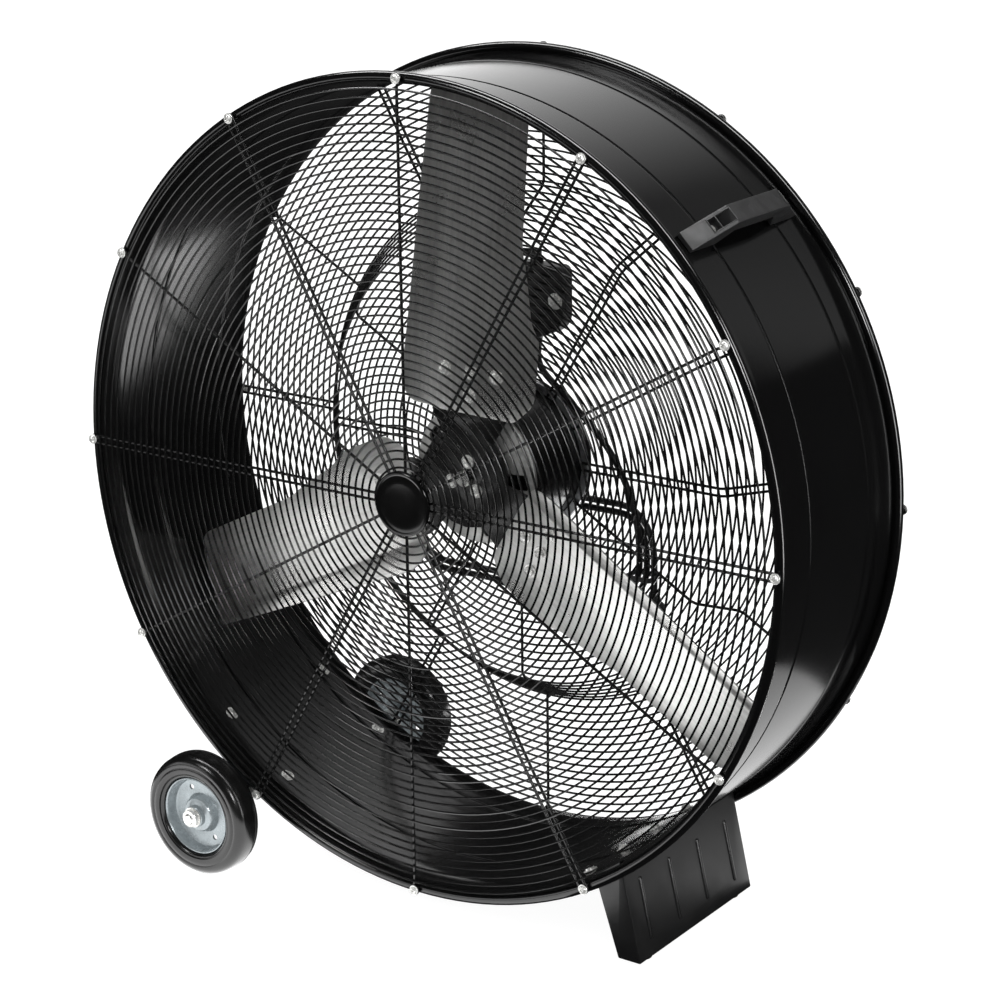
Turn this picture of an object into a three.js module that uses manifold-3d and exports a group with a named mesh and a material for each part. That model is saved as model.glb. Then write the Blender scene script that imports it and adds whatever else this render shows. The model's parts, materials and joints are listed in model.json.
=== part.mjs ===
// Drum fan on two wheels and a foot. Millimetres, +Z up, standing on z = 0, blowing towards -Y.
// The drum's axis runs along Y. Angles round it start at +X and turn towards +Z.
import * as THREE from 'three';
import { mergeVertices } from 'three/addons/utils/BufferGeometryUtils.js';
import Module from 'manifold-3d';

const wasm = await Module();
wasm.setup();

// Clearances
const seatGap = 0.3; // between two pieces that touch
const runGap = 1; // round a turning shaft
const weld = 0.5; // how deep two welded wires sit in each other

// Drum
const drumDepth = 282; // over both rolled rims
const drumRadius = 480; // outside of the sheet
const drumSheet = 2;
const drumSides = 36;
const rimRise = 10; // of the rolled rim's centre over the sheet
const rimRadius = drumRadius + rimRise;
const rimRoll = 7; // radius of the roll
const flareLength = 23; // along the axis, where the sheet rises to the rim
const rimPlane = drumDepth / 2 - rimRoll;
const drumInside = drumRadius - drumSheet;
const floorRoom = 34.5; // under the drum's sheet
const axisHeight = drumRadius + floorRoom;

// Guards
const spokeCount = 12;
const spokeWire = 3.2;
const ringWire = 2.6;
const pairSpread = 5; // from a double spoke's middle to each wire
const ringInset = 12; // from the rim's middle in to the outermost ring
const outerRing = rimRadius - ringInset;
const ringStep = 98;
const innerRing = 32;
const frontRings = [1, 2, 3].map((n) => outerRing - ringStep * n).concat(innerRing);
const eyeRadius = 5.2;
const guardPlane = drumDepth / 2 + seatGap + spokeWire / 2;
const recessDepth = 55; // how far the rear guard's middle is pushed in
const recessMargin = 152; // from the outermost ring in to the cone
const recessRun = 39; // of the cone, along the radius
const recessOuter = outerRing - recessMargin;
const recessInner = recessOuter - recessRun;
const recessPlane = guardPlane - recessDepth;

// Rim screws
const screwHole = 3;
const screwShank = 2.6;
const screwDepth = 6;
const screwHead = 6.6;
const washerThickness = 1.2;
const headHeight = 3;

// Hub disc of the front guard
const hubDiscRadius = 39;
const hubDiscThickness = 6;

// Motor
const motorRadius = 87;
const plateRadius = motorRadius + 10; // of the ring-shaped plate that the motor's flange is bolted to
const spokeEnd = motorRadius + 3; // where the rear spokes end, in front of the plate
const boxRing = recessInner - 75; // that carries the switch box
const rearRings = [outerRing - 78, boxRing, spokeEnd + 3];
const motorFront = 0; // along Y, from the drum's middle
const motorRear = 120;
const motorSides = 20;
const motorCorner = 7;
const bellDepth = 11;
const bellFace = 62;
const bellEye = 36;
const bellWall = 4;
const ventCount = 5;
const ventWidth = 20;
const ventLength = 30;
const flangeThickness = 3;
const plateThickness = 3;
const motorBolt = 2.5;
const motorBoltHead = 4.5;
const motorBoltHeight = 3;
const motorBoltCircle = 92.3;
const motorBoltTurn = 15; // of the first bolt from +X
const shaftRadius = 10;
const shaftInMotor = 24;
const terminalWidth = 56;
const terminalFrom = 20;
const terminalTo = 76;
const terminalTop = 118;

// Fan
const bladeCount = 3;
const bladeTurn = 85.5; // of the first blade round the axis
const bladePitch = 10;
const bladeLean = 1.3; // of the tip towards the rear
const bladeSheet = 2;
const bladeFaceY = -26.5; // of the blade's front face at its bolts
const bladeBend = 52; // from the blade's middle line to its bent strip
const bendAngle = 18;
const bladeRoot = 80;
const bladeTip = drumInside - 14;
const bladeReach = 100; // more than the blade's half width
const boltRow = 131; // from the axis to the three outer bolts of a blade
const boltInner = 103;
const boltSpread = 33.5;
const boltShank = 3;
const boltHead = 6.5;
const boltHeadHeight = 4;
const spiderThickness = 4;
const spiderReach = 150;
const spiderArm = 96; // width of an arm under its blade
const spiderNeck = 62; // width of an arm where it leaves the disc
const spiderNeckFrom = 40;
const spiderTwistRoom = 2; // from the end of the twist to the blade
const spiderHub = 62;
const hubBack = -22; // along Y, the back of the spider's disc
const hubBoltCircle = 21;
const hubBoltCount = 3;
const hubBoltTurn = 79;
const hubFlange = 30;
const hubFlangeThickness = 7;
const shaftNose = 7; // of the shaft, in front of the spider

// Switch box
const boxWidth = 72;
const boxHeight = 84;
const boxDepth = 22;
const boxX = 26;
const boxZ = boxRing - 14;
const boxTopCorner = 10;
const boxLowCorner = 26;
const boxScrewX = boxX + 30;
const boxScrewZ = boxZ + 2;
const boxScrewDepth = 10;
const boxScrewHead = 10;
const knobRadius = 18;
const knobDepth = 16;
const knobGrip = 8;
const knobFlange = 5;
const knobStem = 5;
const knobStemDepth = 7;
const glandRadius = 8;
const glandInset = 8; // of the glands from the box's middle
const elbowRise = 16; // of the elbow gland over the box
const elbowRadius = 6;
const elbowLength = 24; // from its upright's middle out to its end
const lowGlandLength = 16;
const leadRadius = 3.5;
const leadStraight = 8; // out of the gland, before the first bend
const leadBend = 31; // radius of the lead's two bends
const leadX = -22; // where the lead enters the terminal box
const leadDrop = 14; // of that place under the terminal box's top

// Mains cord
const cordRadius = 4;
const cordStraight = 10; // out of the gland, before the first bend
const cordBend = 36; // radius of the bend under the gland
const cordLean = 50; // of the cord from upright after that bend
const cordEntry = 3; // straight, before the coil
const coilX = -2;
const coilZ = -116;
const coilHalfWidth = 186; // of the outermost loop
const coilEnd = 65; // radius of its round ends
const coilStep = 10.5; // between the middles of neighbouring loops
const coilLoops = 2;
const coilRise = 24; // of the loops' tops, which pass behind the motor
const coilTail = 30; // straight down to the plug
const coilLead = 8; // straight into the first loop
const loopSteps = 24;
const cordSides = 6;
const plugRadius = 13;
const plugLength = 38;
const pinRadius = 2.4;
const pinLength = 19;
const pinSpread = 9.5;
const tieThickness = 1.5;
const tieWidth = 6;
const tieDrop = 10; // under the coil's middle

// Wheels and their carriage
const wheelRadius = 78.5;
const wheelDrop = wheelRadius - axisHeight; // from the drum's axis to the wheels' axle
const axleReach = 39.8; // from the drum's sheet out to the axle's middle
const wheelX = -Math.sqrt((drumRadius + axleReach) ** 2 - wheelDrop ** 2);
const tyreWidth = 40;
const tyreShoulder = 10;
const wheelPlane = 202; // from the drum's middle to each wheel's middle
const steelRadius = 50;
const steelSheet = 3;
const hubTube = 14;
const hubLength = 38;
const axleRadius = 8;
const axleBody = 11;
const axleThread = 6;
const axleEnd = 8; // thread past the nut's seat
const nutRadius = 11;
const nutHeight = 6;
const wheelSides = 20;
const axleAngle = 180 + THREE.MathUtils.radToDeg(Math.atan2(-wheelDrop, -wheelX));
const carriageAngle = axleAngle - 3.3;
const carriageSpan = 18;
const carriageLength = 206;
const carriageSheet = 3;
const cheekPlane = carriageLength / 2 - 18;
const carriageBoltSpan = 6.6;
const carriageBoltPlane = carriageLength / 2 - 10;
const wallBolt = 3;
const wallBoltHead = 8;
const wallBoltHeight = 5;
const wallBoltEnd = 5; // of thread outside the bolted sheet

// Foot
const footLength = 252;
const footSheet = 2.5;
const footBottomHeight = 5; // over the floor
const footBottomWidth = 30.6;
const footBottomX = 0.6173 * drumRadius; // the middle of its underside
const footTopAngles = [301.2, 306.4]; // where its two long sides meet the drum
const footTopSink = 3; // of their tops into the drum's curve, before they are cut to it
const footRibs = 4;
const footRibLength = 66;
const footRibWidth = 5;
const footRibHeight = 2;
const footStripFrom = 296.4;
const footStripTo = 302;
const footStripInset = 11; // of the strip's ends from the foot's
const footBoltAngle = 298.8;
const footBoltCount = 4;
const footBoltStep = 71;
const padRadius = 12;
const padPlane = 98;

// Handle
const handleAngle = 44.2;
const handleFrom = -98;
const handleTo = 122;
const handleRise = 38;
const handleWidth = 24;
const handleToe = 5;
const handleRamp = 56;
const handleFoot = 50;
const fingerSlope = 18;
const gripThickness = 18;
const pocketLength = 26;
const pocketWidth = 16;
const pocketFloor = 12; // over the drum
const handleScrewHead = 6;
const pocketInset = 30;

const radians = THREE.MathUtils.degToRad;

/** A point on the drum's outside. */
const onDrum = (angle, out) => [
  (drumRadius + out) * Math.cos(radians(angle)), (drumRadius + out) * Math.sin(radians(angle))];

/** Returns the geometry as a closed mesh of shared points, with its faces pointing out. */
function closed(geometry) {
  const bare = new THREE.BufferGeometry();
  bare.setAttribute('position', geometry.getAttribute('position').clone());
  if (geometry.index) {
    bare.setIndex(geometry.index.clone());
  }
  const merged = mergeVertices(bare, 1e-3);
  const place = merged.getAttribute('position');
  const corners = [0, 1, 2].map(() => new THREE.Vector3());
  const kept = [];
  let volume = 0;
  for (let i = 0; i < merged.index.count; i += 3) {
    const triangle = [0, 1, 2].map((step) => merged.index.getX(i + step));
    if (new Set(triangle).size < 3) {
      continue;
    }
    triangle.forEach((vertex, n) => corners[n].fromBufferAttribute(place, vertex));
    volume += corners[0].dot(corners[1].clone().cross(corners[2]));
    kept.push(triangle);
  }
  merged.setIndex((volume < 0 ? kept.map(([a, b, c]) => [a, c, b]) : kept).flat());
  return merged;
}

/** Returns a solid that can be joined and cut. */
function solid(geometry) {
  const mesh = closed(geometry);
  return new wasm.Manifold(new wasm.Mesh({
    numProp: 3,
    vertProperties: Float32Array.from(mesh.getAttribute('position').array),
    triVerts: Uint32Array.from(mesh.index.array),
  }));
}

/** Returns a joined or cut solid as a geometry again. */
function shaped(body) {
  const mesh = body.getMesh();
  const geometry = new THREE.BufferGeometry();
  geometry.setAttribute('position', new THREE.BufferAttribute(new Float32Array(mesh.vertProperties), 3));
  geometry.setIndex(Array.from(mesh.triVerts));
  return geometry;
}

const joined = (geometries) => geometries.map(solid).reduce((a, b) => a.add(b));
const cut = (body, cutters) => cutters.map(solid).reduce((a, b) => a.subtract(b), body);

/** A closed outline of [radius, y] points turned round the Y axis. */
function turned(outline, sides) {
  const points = [...outline, outline[0]].map(([r, y]) => new THREE.Vector2(r, y));
  return new THREE.LatheGeometry(points, sides);
}

/** A flat outline pushed straight out along Z. */
function pushed(outline, depth) {
  const shape = new THREE.Shape(outline.map(([x, y]) => new THREE.Vector2(x, y)));
  return new THREE.ExtrudeGeometry(shape, { depth, bevelEnabled: false });
}

/** A flat outline in X and Z, pushed along Y from one value to another. */
function pushedAlongY(outline, from, to) {
  return pushed(outline, to - from).rotateX(Math.PI / 2).translate(0, to, 0);
}

/** The outline of a sheet of even thickness that follows a path through its middle. */
function band(path, thickness) {
  const points = path.map(([x, y]) => new THREE.Vector2(x, y));
  const along = points.slice(1).map((p, i) => p.clone().sub(points[i]).normalize());
  const offset = (i) => {
    const before = along[Math.max(i - 1, 0)];
    const after = along[Math.min(i, along.length - 1)];
    const mitre = before.clone().add(after).normalize();
    const reach = thickness / 2 / mitre.dot(after);
    return new THREE.Vector2(-mitre.y, mitre.x).multiplyScalar(reach);
  };
  const left = points.map((p, i) => p.clone().add(offset(i)).toArray());
  const right = points.map((p, i) => p.clone().sub(offset(i)).toArray());
  return [...left, ...right.reverse()];
}

/** A rectangle with round corners, its middle at the origin. The two lower corners may be rounder. */
function roundedOutline(width, height, corner, lowCorner = corner, steps = 3) {
  const outline = [];
  for (const [sx, sy, start] of [[1, 1, 0], [-1, 1, 90], [-1, -1, 180], [1, -1, 270]]) {
    const radius = sy > 0 ? corner : lowCorner;
    for (let i = 0; i <= steps; i += 1) {
      const a = radians(start + (90 * i) / steps);
      outline.push([
        sx * (width / 2 - radius) + radius * Math.cos(a),
        sy * (height / 2 - radius) + radius * Math.sin(a),
      ]);
    }
  }
  return outline;
}

/** Turns a geometry that lies along +X by degrees round the Y axis, towards +Z. */
const swung = (geometry, degrees) => geometry.rotateY(-radians(degrees));

/** A round bar along Y. */
function barY(radius, from, to, sides) {
  return new THREE.CylinderGeometry(radius, radius, to - from, sides).translate(0, (from + to) / 2, 0);
}

/** A round bar along X, which is outwards from the drum's axis. */
function barX(radius, from, to, sides) {
  return new THREE.CylinderGeometry(radius, radius, to - from, sides)
    .rotateZ(-Math.PI / 2)
    .translate((from + to) / 2, 0, 0);
}

/** A wire ring round the Y axis. */
function wireRing(radius, wire, y) {
  const sides = radius < 350 ? 24 : 36;
  return new THREE.TorusGeometry(radius, wire / 2, 3, sides).rotateX(Math.PI / 2).translate(0, y, 0);
}

/** A round tube with flat ends that follows a curve. */
function tube(curve, radius, sides, steps) {
  const section = new THREE.Shape(
    Array.from({ length: sides }, (_, i) => {
      const a = (2 * Math.PI * i) / sides;
      return new THREE.Vector2(radius * Math.cos(a), radius * Math.sin(a));
    }),
  );
  return new THREE.ExtrudeGeometry(section, { extrudePath: curve, steps, bevelEnabled: false });
}

/** A screw along Y with a washer under its domed head, which faces -Y and sits on y = 0. */
function washerScrew(shank, length, head, height, sides) {
  const top = -washerThickness - height;
  return turned([
    [0, length], [0, top], [head * 0.5, top], [head * 0.8, -washerThickness], [head, -washerThickness],
    [head, 0], [shank, 0], [shank, length],
  ], sides);
}

/** A hexagon bolt along Y whose head faces -Y and sits on y = 0. */
function hexBolt(shank, length, head, height) {
  return turned([[0, length], [0, -height], [head, -height], [head, 0], [shank, 0], [shank, length]], 6);
}

// Materials, by what the piece is made of
const finish = (color, roughness, metalness) => new THREE.MeshStandardMaterial({ color, roughness, metalness });
const blackPaint = () => finish(0x0b0b0c, 0.25, 0.1);
const blackWire = () => finish(0x0a0a0a, 0.3, 0.1);
const satinBlack = () => finish(0x1a1a1b, 0.45, 0.1);
const blackPlastic = () => finish(0x161617, 0.5, 0);
const zinc = () => finish(0xb9bec2, 0.3, 0.9);
const castGrey = () => finish(0x6f7072, 0.5, 0.8);
const galvanised = () => finish(0x9a9c9f, 0.4, 0.8);
const bladeGrey = () => finish(0x6d6c69, 0.35, 0.8);
const rubber = () => finish(0x111112, 0.6, 0);
const steel = () => finish(0xa8acaf, 0.3, 0.95);

/** The places of the rim screws, in degrees round the axis. */
const rimAngles = Array.from({ length: spokeCount }, (_, k) => 90 + (360 / spokeCount) * k);

/** The bolts that go through the drum's wall: angle, place along Y. */
const carriageBolts = [-1, 1].flatMap((end) => [-1, 1].map((side) => (
  [carriageAngle + side * carriageBoltSpan, end * carriageBoltPlane])));
const footBolts = Array.from({ length: footBoltCount }, (_, i) => (
  [footBoltAngle, (i - (footBoltCount - 1) / 2) * footBoltStep]));
const pocketMiddle = pocketInset + pocketLength / 2;
const handleBolts = [handleFrom + pocketMiddle, handleTo - pocketMiddle].map((y) => [handleAngle, y]);

/** The drum's outside on one side of its middle, from the straight sheet out to the rolled rim. */
function flareOutline(side, gap) {
  const start = rimPlane - rimRoll - flareLength;
  return [
    [drumRadius + gap, side * start],
    [drumRadius + (rimRadius - drumRadius) / 4 + gap, side * (start + 0.6 * flareLength)],
  ];
}

/** Half of the drum's section: outer surface from the middle to the rim, and back inside. */
function drumHalf(side) {
  const rollPoints = 5;
  const rollStart = -110;
  const rollStep = (90 - rollStart) / 3; // so that the fourth point is on the rim's edge
  const roll = Array.from({ length: rollPoints }, (_, i) => {
    const a = radians(rollStart + rollStep * i);
    return [rimRadius + rimRoll * Math.cos(a), side * (rimPlane + rimRoll * Math.sin(a))];
  });
  const inner = flareOutline(side, -drumSheet).reverse();
  return [...flareOutline(side, 0), ...roll, ...inner];
}

/** The space that the drum and a gap round it fill, for cutting what sits on its outside. */
function drumSpace() {
  const gap = seatGap;
  const half = (side) => [
    ...flareOutline(side, gap), [rimRadius - rimRoll / 3 + gap, side * (rimPlane - rimRoll - gap)],
    [rimRadius + rimRoll + gap, side * (rimPlane - rimRoll - gap)], [rimRadius + rimRoll + gap, side * drumDepth],
  ];
  const front = half(-1).reverse();
  return turned([[0, -drumDepth], ...front, ...half(1), [0, drumDepth]], drumSides);
}

/** A hole through the drum's wall and what is bolted to its outside. */
function wallHole([angle, y], reach) {
  const inside = drumInside - wallBoltHead;
  return swung(barX(wallBolt + seatGap, inside, drumRadius + reach, 6).translate(0, y, 0), angle);
}

function drumShell() {
  const wall = solid(turned([...drumHalf(-1).reverse(), ...drumHalf(1)], drumSides));
  const screwHoles = rimAngles.flatMap((angle) => [-1, 1].map((side) => {
    const middle = side * (drumDepth / 2 - screwDepth / 2);
    const half = screwDepth / 2 + seatGap;
    return swung(barY(screwHole, middle - half, middle + half, 6).translate(rimRadius, 0, 0), angle);
  }));
  const boltHoles = [...carriageBolts, ...footBolts, ...handleBolts].map((place) => wallHole(place, wallBoltHead));
  return shaped(cut(wall, [...screwHoles, ...boltHoles]));
}

/** One spoke of a guard, along a path of [radius, y]: a single wire, or two side by side. */
function spoke(path, angle, double) {
  const [outer, ...rest] = path;
  const start = double ? [rimRadius, outer[1]] : outer;
  const places = double ? [-pairSpread, pairSpread] : [0];
  return places.map((z) => {
    const wire = pushed(band([start, ...rest], spokeWire), spokeWire);
    return swung(wire.translate(0, 0, z - spokeWire / 2), angle);
  });
}

/** The loop of wire round each rim screw. */
function eye(angle, y) {
  const half = spokeWire / 2;
  const loop = turned([
    [eyeRadius - half, y - half], [eyeRadius + half, y - half], [eyeRadius + half, y + half],
    [eyeRadius - half, y + half],
  ], 6);
  return swung(loop.translate(rimRadius, 0, 0), angle);
}

/** The spokes of a guard: every other one is a pair of wires. */
const spokes = (path) => rimAngles.flatMap((angle, k) => spoke(path, angle, k % 2 === 1));

function frontGuard() {
  const plane = -guardPlane;
  const ringPlane = plane - (spokeWire + ringWire) / 2 + weld;
  const radii = [outerRing, ...frontRings];
  const path = [[rimRadius - eyeRadius, plane], [radii.at(-1) - ringWire, plane]];
  const rings = radii.map((r) => wireRing(r, ringWire, ringPlane));
  const eyes = rimAngles.map((angle) => eye(angle, plane));
  return shaped(joined([...rings, ...spokes(path), ...eyes]));
}

/** The middle of the rear guard's spokes, as y at a radius. */
function rearPlane(radius) {
  const share = (radius - recessInner) / (recessOuter - recessInner);
  return recessPlane + recessDepth * THREE.MathUtils.clamp(share, 0, 1);
}

const screwReach = spokeWire + screwDepth; // from the guard's face into the rim

/** A screw of the rear guard, its head sunk a little into the ends of the spoke. */
function rearScrew(angle) {
  const seat = guardPlane + spokeWire / 2 - weld / 2;
  const screw = hexBolt(screwShank, screwReach - seatGap, screwHead, headHeight).rotateX(Math.PI);
  return swung(screw.translate(rimRadius, seat, 0), angle);
}

/** The rear guard, its middle pushed in, in one with its twelve screws. */
function rearGuard() {
  const path = [
    [rimRadius - screwShank, guardPlane], [recessOuter, guardPlane],
    [recessInner, recessPlane], [spokeEnd, recessPlane],
  ];
  const inFront = (spokeWire + ringWire) / 2 - weld;
  const rings = [outerRing, ...rearRings].map((r) => wireRing(r, ringWire, rearPlane(r) - inFront));
  const slope = new THREE.Vector2(recessOuter - recessInner, recessDepth).normalize();
  const coneRadius = (recessOuter + recessInner) / 2;
  rings.push(wireRing(coneRadius + slope.y * inFront, ringWire, rearPlane(coneRadius) - slope.x * inFront));
  return shaped(joined([...rings, ...spokes(path), ...rimAngles.map(rearScrew)]));
}

/** A screw of the front guard, its washer on the loop of wire. */
function frontScrew(angle) {
  const seat = -guardPlane - spokeWire / 2 - seatGap;
  return swung(washerScrew(screwShank, screwReach, screwHead, headHeight, 6).translate(rimRadius, seat, 0), angle);
}

const ringFront = guardPlane + spokeWire / 2 + ringWire - weld;

function hubDisc() {
  const back = -ringFront - seatGap;
  const front = back - hubDiscThickness;
  return turned([
    [0, back], [hubDiscRadius, back], [hubDiscRadius, front + 2.5], [hubDiscRadius - 4, front], [0, front],
  ], 24);
}

const platePlane = recessPlane + spokeWire / 2 + seatGap;
const flangePlane = platePlane + plateThickness + seatGap;
const motorBoltAngles = [0, 90, 180, 270].map((angle) => angle + motorBoltTurn);

/** A hole along Y at a place round the axis. */
function boltHoleY(radius, circle, angle, from, to) {
  return swung(barY(radius + seatGap, from, to, 6).translate(circle, 0, 0), angle);
}

/** The motor's closed casing and flange, in one with the four bolts through its flange. */
function motorBody() {
  const body = solid(turned([
    [0, motorFront + shaftInMotor], [shaftRadius + runGap, motorFront + shaftInMotor],
    [shaftRadius + runGap, motorFront], [motorRadius, motorFront], [motorRadius, flangePlane],
    [plateRadius, flangePlane], [plateRadius, flangePlane + flangeThickness],
    [motorRadius, flangePlane + flangeThickness], [motorRadius, motorRear - motorCorner],
    [motorRadius - motorCorner, motorRear], [0, motorRear],
  ], motorSides));
  const seat = flangePlane + flangeThickness - seatGap;
  const bolts = motorBoltAngles.map((angle) => {
    const bolt = hexBolt(motorBolt, seat - platePlane, motorBoltHead, motorBoltHeight).rotateX(Math.PI);
    return swung(bolt.translate(motorBoltCircle, seat, 0), angle);
  });
  return shaped(bolts.map(solid).reduce((a, b) => a.add(b), body));
}

/** The cone-shaped end shield, open in the middle and slotted. */
function motorBell() {
  const back = motorFront - seatGap;
  const face = back - bellDepth;
  const outer = motorRadius - 1;
  const shell = solid(turned([
    [outer, back], [outer, back - bellWall], [bellFace, face], [bellEye, face],
    [bellEye, face + bellWall], [bellFace - 2, face + bellWall], [outer - bellWall, back],
  ], motorSides));
  const vents = Array.from({ length: ventCount }, (_, i) => swung(
    new THREE.BoxGeometry(ventLength, 3 * bellDepth, ventWidth).translate(bellFace, face, 0),
    (360 / ventCount) * i,
  ));
  return shaped(cut(shell, vents));
}

/** The ring that joins the rear guard's spokes and the motor's flange. */
function motorPlate() {
  const back = platePlane + plateThickness;
  const plate = solid(turned([
    [motorRadius + runGap, platePlane], [plateRadius, platePlane], [plateRadius, back], [motorRadius + runGap, back],
  ], motorSides));
  const holes = motorBoltAngles.map((angle) => (
    boltHoleY(motorBolt, motorBoltCircle, angle, platePlane - 1, back + 1)));
  return shaped(cut(plate, holes));
}

function terminalBox() {
  const outline = [
    [-terminalWidth / 2, motorRadius * 0.8], [terminalWidth / 2, motorRadius * 0.8],
    [terminalWidth / 2, terminalTop - 6], [terminalWidth / 2 - 6, terminalTop],
    [6 - terminalWidth / 2, terminalTop], [-terminalWidth / 2, terminalTop - 6],
  ];
  const box = solid(pushedAlongY(outline, terminalFrom, terminalTo));
  return shaped(cut(box, [barY(motorRadius + seatGap, terminalFrom - 1, terminalTo + 1, motorSides)]));
}

const flangeBack = hubBack + seatGap + hubFlangeThickness;
const discFace = hubBack - spiderThickness;

/** The shaft with the flange that the spider is bolted to. */
function shaft() {
  const outline = [
    [0, discFace - shaftNose], [shaftRadius, discFace - shaftNose], [shaftRadius, hubBack + seatGap],
    [hubFlange, hubBack + seatGap], [hubFlange, flangeBack], [shaftRadius, flangeBack],
    [shaftRadius, motorFront + shaftInMotor - runGap], [0, motorFront + shaftInMotor - runGap],
  ];
  const holes = hubBoltAngles.map((angle) => boltHoleY(boltShank, hubBoltCircle, angle, hubBack, flangeBack + 1));
  return shaped(cut(solid(turned(outline, 12)), holes));
}

/** Places a geometry made for a flat blade along +X onto the first blade's slope. */
function pitched(geometry) {
  geometry.rotateX(radians(bladePitch));
  geometry.translate(-boltRow, 0, 0).rotateZ(radians(bladeLean)).translate(boltRow, 0, 0);
  return geometry.translate(0, bladeFaceY, 0);
}

/** Turns a geometry round to blade n. */
const onBlade = (geometry, n) => swung(geometry, bladeTurn + (360 / bladeCount) * n);

const bladeBoltPlaces = [[boltInner, 0], [boltRow, -boltSpread], [boltRow, 0], [boltRow, boltSpread]];
const hubBoltAngles = Array.from({ length: hubBoltCount }, (_, i) => hubBoltTurn + (360 / hubBoltCount) * i);

/** The blade's outline, as [outwards, across]: a straight side with the bent strip and a stepped side. */
const bladeOutline = [
  [bladeRoot, 35], [bladeRoot, -60], [bladeRoot + 26, -84], [184, -84], [200, -73], [265, -61],
  [286, -54.5], [bladeTip - 9, -51], [bladeTip, -32], [bladeTip, 71], [325, 78], [205, 82],
  [bladeRoot + 27, 87], [bladeRoot + 5, 74],
];

/** A blade of bent sheet, in one with its four bolts. */
function blade(n) {
  const bend = radians(bendAngle);
  const across = [
    [-bladeReach, 0], [bladeBend, 0],
    [bladeBend + bladeReach * Math.cos(bend), -bladeReach * Math.sin(bend)],
  ];
  const sheet = pushed(band(across, bladeSheet), bladeTip).rotateY(Math.PI / 2).scale(1, 1, -1);
  const stencil = pushedAlongY(bladeOutline, -bladeReach, bladeReach);
  const flat = solid(sheet.translate(0, bladeSheet / 2, 0)).intersect(solid(stencil));
  const length = bladeSheet + seatGap + spiderThickness + boltShank;
  const bolts = bladeBoltPlaces.map(([u, v]) => (
    hexBolt(boltShank, length, boltHead, boltHeadHeight).translate(u, weld / 2, v)));
  const whole = bolts.map(solid).reduce((a, b) => a.add(b), flat);
  return onBlade(pitched(shaped(whole)), n);
}

/** A solid through a row of sections, each a list of as many points. */
function lofted(sections) {
  const count = sections[0].length;
  const index = [];
  for (let s = 0; s < sections.length - 1; s += 1) {
    for (let i = 0; i < count; i += 1) {
      const a = s * count + i;
      const b = s * count + ((i + 1) % count);
      index.push(a, b, b + count, a, b + count, a + count);
    }
  }
  const last = (sections.length - 1) * count;
  for (let i = 1; i < count - 1; i += 1) {
    index.push(0, i + 1, i, last, last + i, last + i + 1);
  }
  const geometry = new THREE.BufferGeometry();
  geometry.setAttribute('position', new THREE.Float32BufferAttribute(sections.flat(2), 3));
  geometry.setIndex(index);
  return geometry;
}

/** The spider: a flat disc with an arm twisted into the slope of each blade. */
function spider() {
  const disc = barY(spiderHub, discFace, hubBack, 18);
  const near = bladeSheet + seatGap;
  const section = (u, width, [front, back]) => [
    [u, front, -width / 2], [u, front, width / 2], [u, back, width / 2], [u, back, -width / 2]];
  const slope = (points) => {
    const flat = new THREE.BufferGeometry().setFromPoints(points.map((p) => new THREE.Vector3(...p)));
    const place = pitched(flat).getAttribute('position');
    return points.map((_, i) => [place.getX(i), place.getY(i), place.getZ(i)]);
  };
  const arm = () => lofted([
    section(spiderNeckFrom, spiderNeck, [discFace, hubBack]),
    slope(section(bladeRoot - spiderTwistRoom, spiderArm, [near, near + spiderThickness])),
    slope(section(spiderReach, spiderArm, [near, near + spiderThickness])),
  ]);
  const blades = Array.from({ length: bladeCount }, (_, n) => n);
  const arms = blades.map((n) => onBlade(arm(), n));
  const bladeHoles = blades.flatMap((n) => bladeBoltPlaces.map(([u, v]) => (
    onBlade(pitched(barY(boltShank + seatGap, 0, 3 * spiderThickness, 6).translate(u, 0, v)), n))));
  const hubHoles = hubBoltAngles.map((angle) => boltHoleY(boltShank, hubBoltCircle, angle, discFace - 1, hubBack + 1));
  const bore = barY(shaftRadius + seatGap, discFace - 1, hubBack + 1, 12);
  return shaped(cut(joined([disc, ...arms]), [bore, ...bladeHoles, ...hubHoles]));
}

function hubBolt(angle) {
  const seat = discFace - seatGap;
  const bolt = hexBolt(boltShank, flangeBack - seat, boltHead, boltHeadHeight);
  return swung(bolt.translate(hubBoltCircle, seat, 0), angle);
}

const boxFront = recessPlane + spokeWire / 2 + seatGap;
const boxBack = boxFront + boxDepth;
const boxMiddle = boxFront + boxDepth / 2;
const recessRingFace = recessPlane - spokeWire / 2 - ringWire + weld;

function switchBox() {
  const outline = roundedOutline(boxWidth, boxHeight, boxTopCorner, boxLowCorner)
    .map(([x, z]) => [boxX + x, boxZ + z]);
  const box = solid(pushedAlongY(outline, boxFront, boxBack));
  const hole = barY(boltShank + seatGap, boxFront - 1, boxFront + boxScrewDepth + 1, 6);
  const spindle = barY(knobStem + seatGap, boxBack - knobStemDepth - 1, boxBack + 1, 12);
  return shaped(cut(box, [hole.translate(boxScrewX, 0, boxScrewZ), spindle.translate(boxX, 0, boxZ)]));
}

/** The screw whose washer holds the guard's wires against the box. */
function boxScrew() {
  const seat = recessRingFace - seatGap;
  const screw = washerScrew(boltShank, boxFront + boxScrewDepth - seat, boxScrewHead, boltHeadHeight, 6);
  return screw.translate(boxScrewX, seat, boxScrewZ);
}

function knob() {
  const face = boxBack + seatGap;
  const disc = barY(knobRadius, face, face + knobFlange, 20);
  const grip = new THREE.BoxGeometry(knobGrip, knobDepth - knobFlange + weld, 1.8 * knobRadius)
    .translate(0, face + (knobDepth + knobFlange - weld) / 2, 0);
  const stem = barY(knobStem, boxBack - knobStemDepth, face + weld, 12);
  return shaped(joined([disc, grip, stem])).translate(boxX, 0, boxZ);
}

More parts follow.
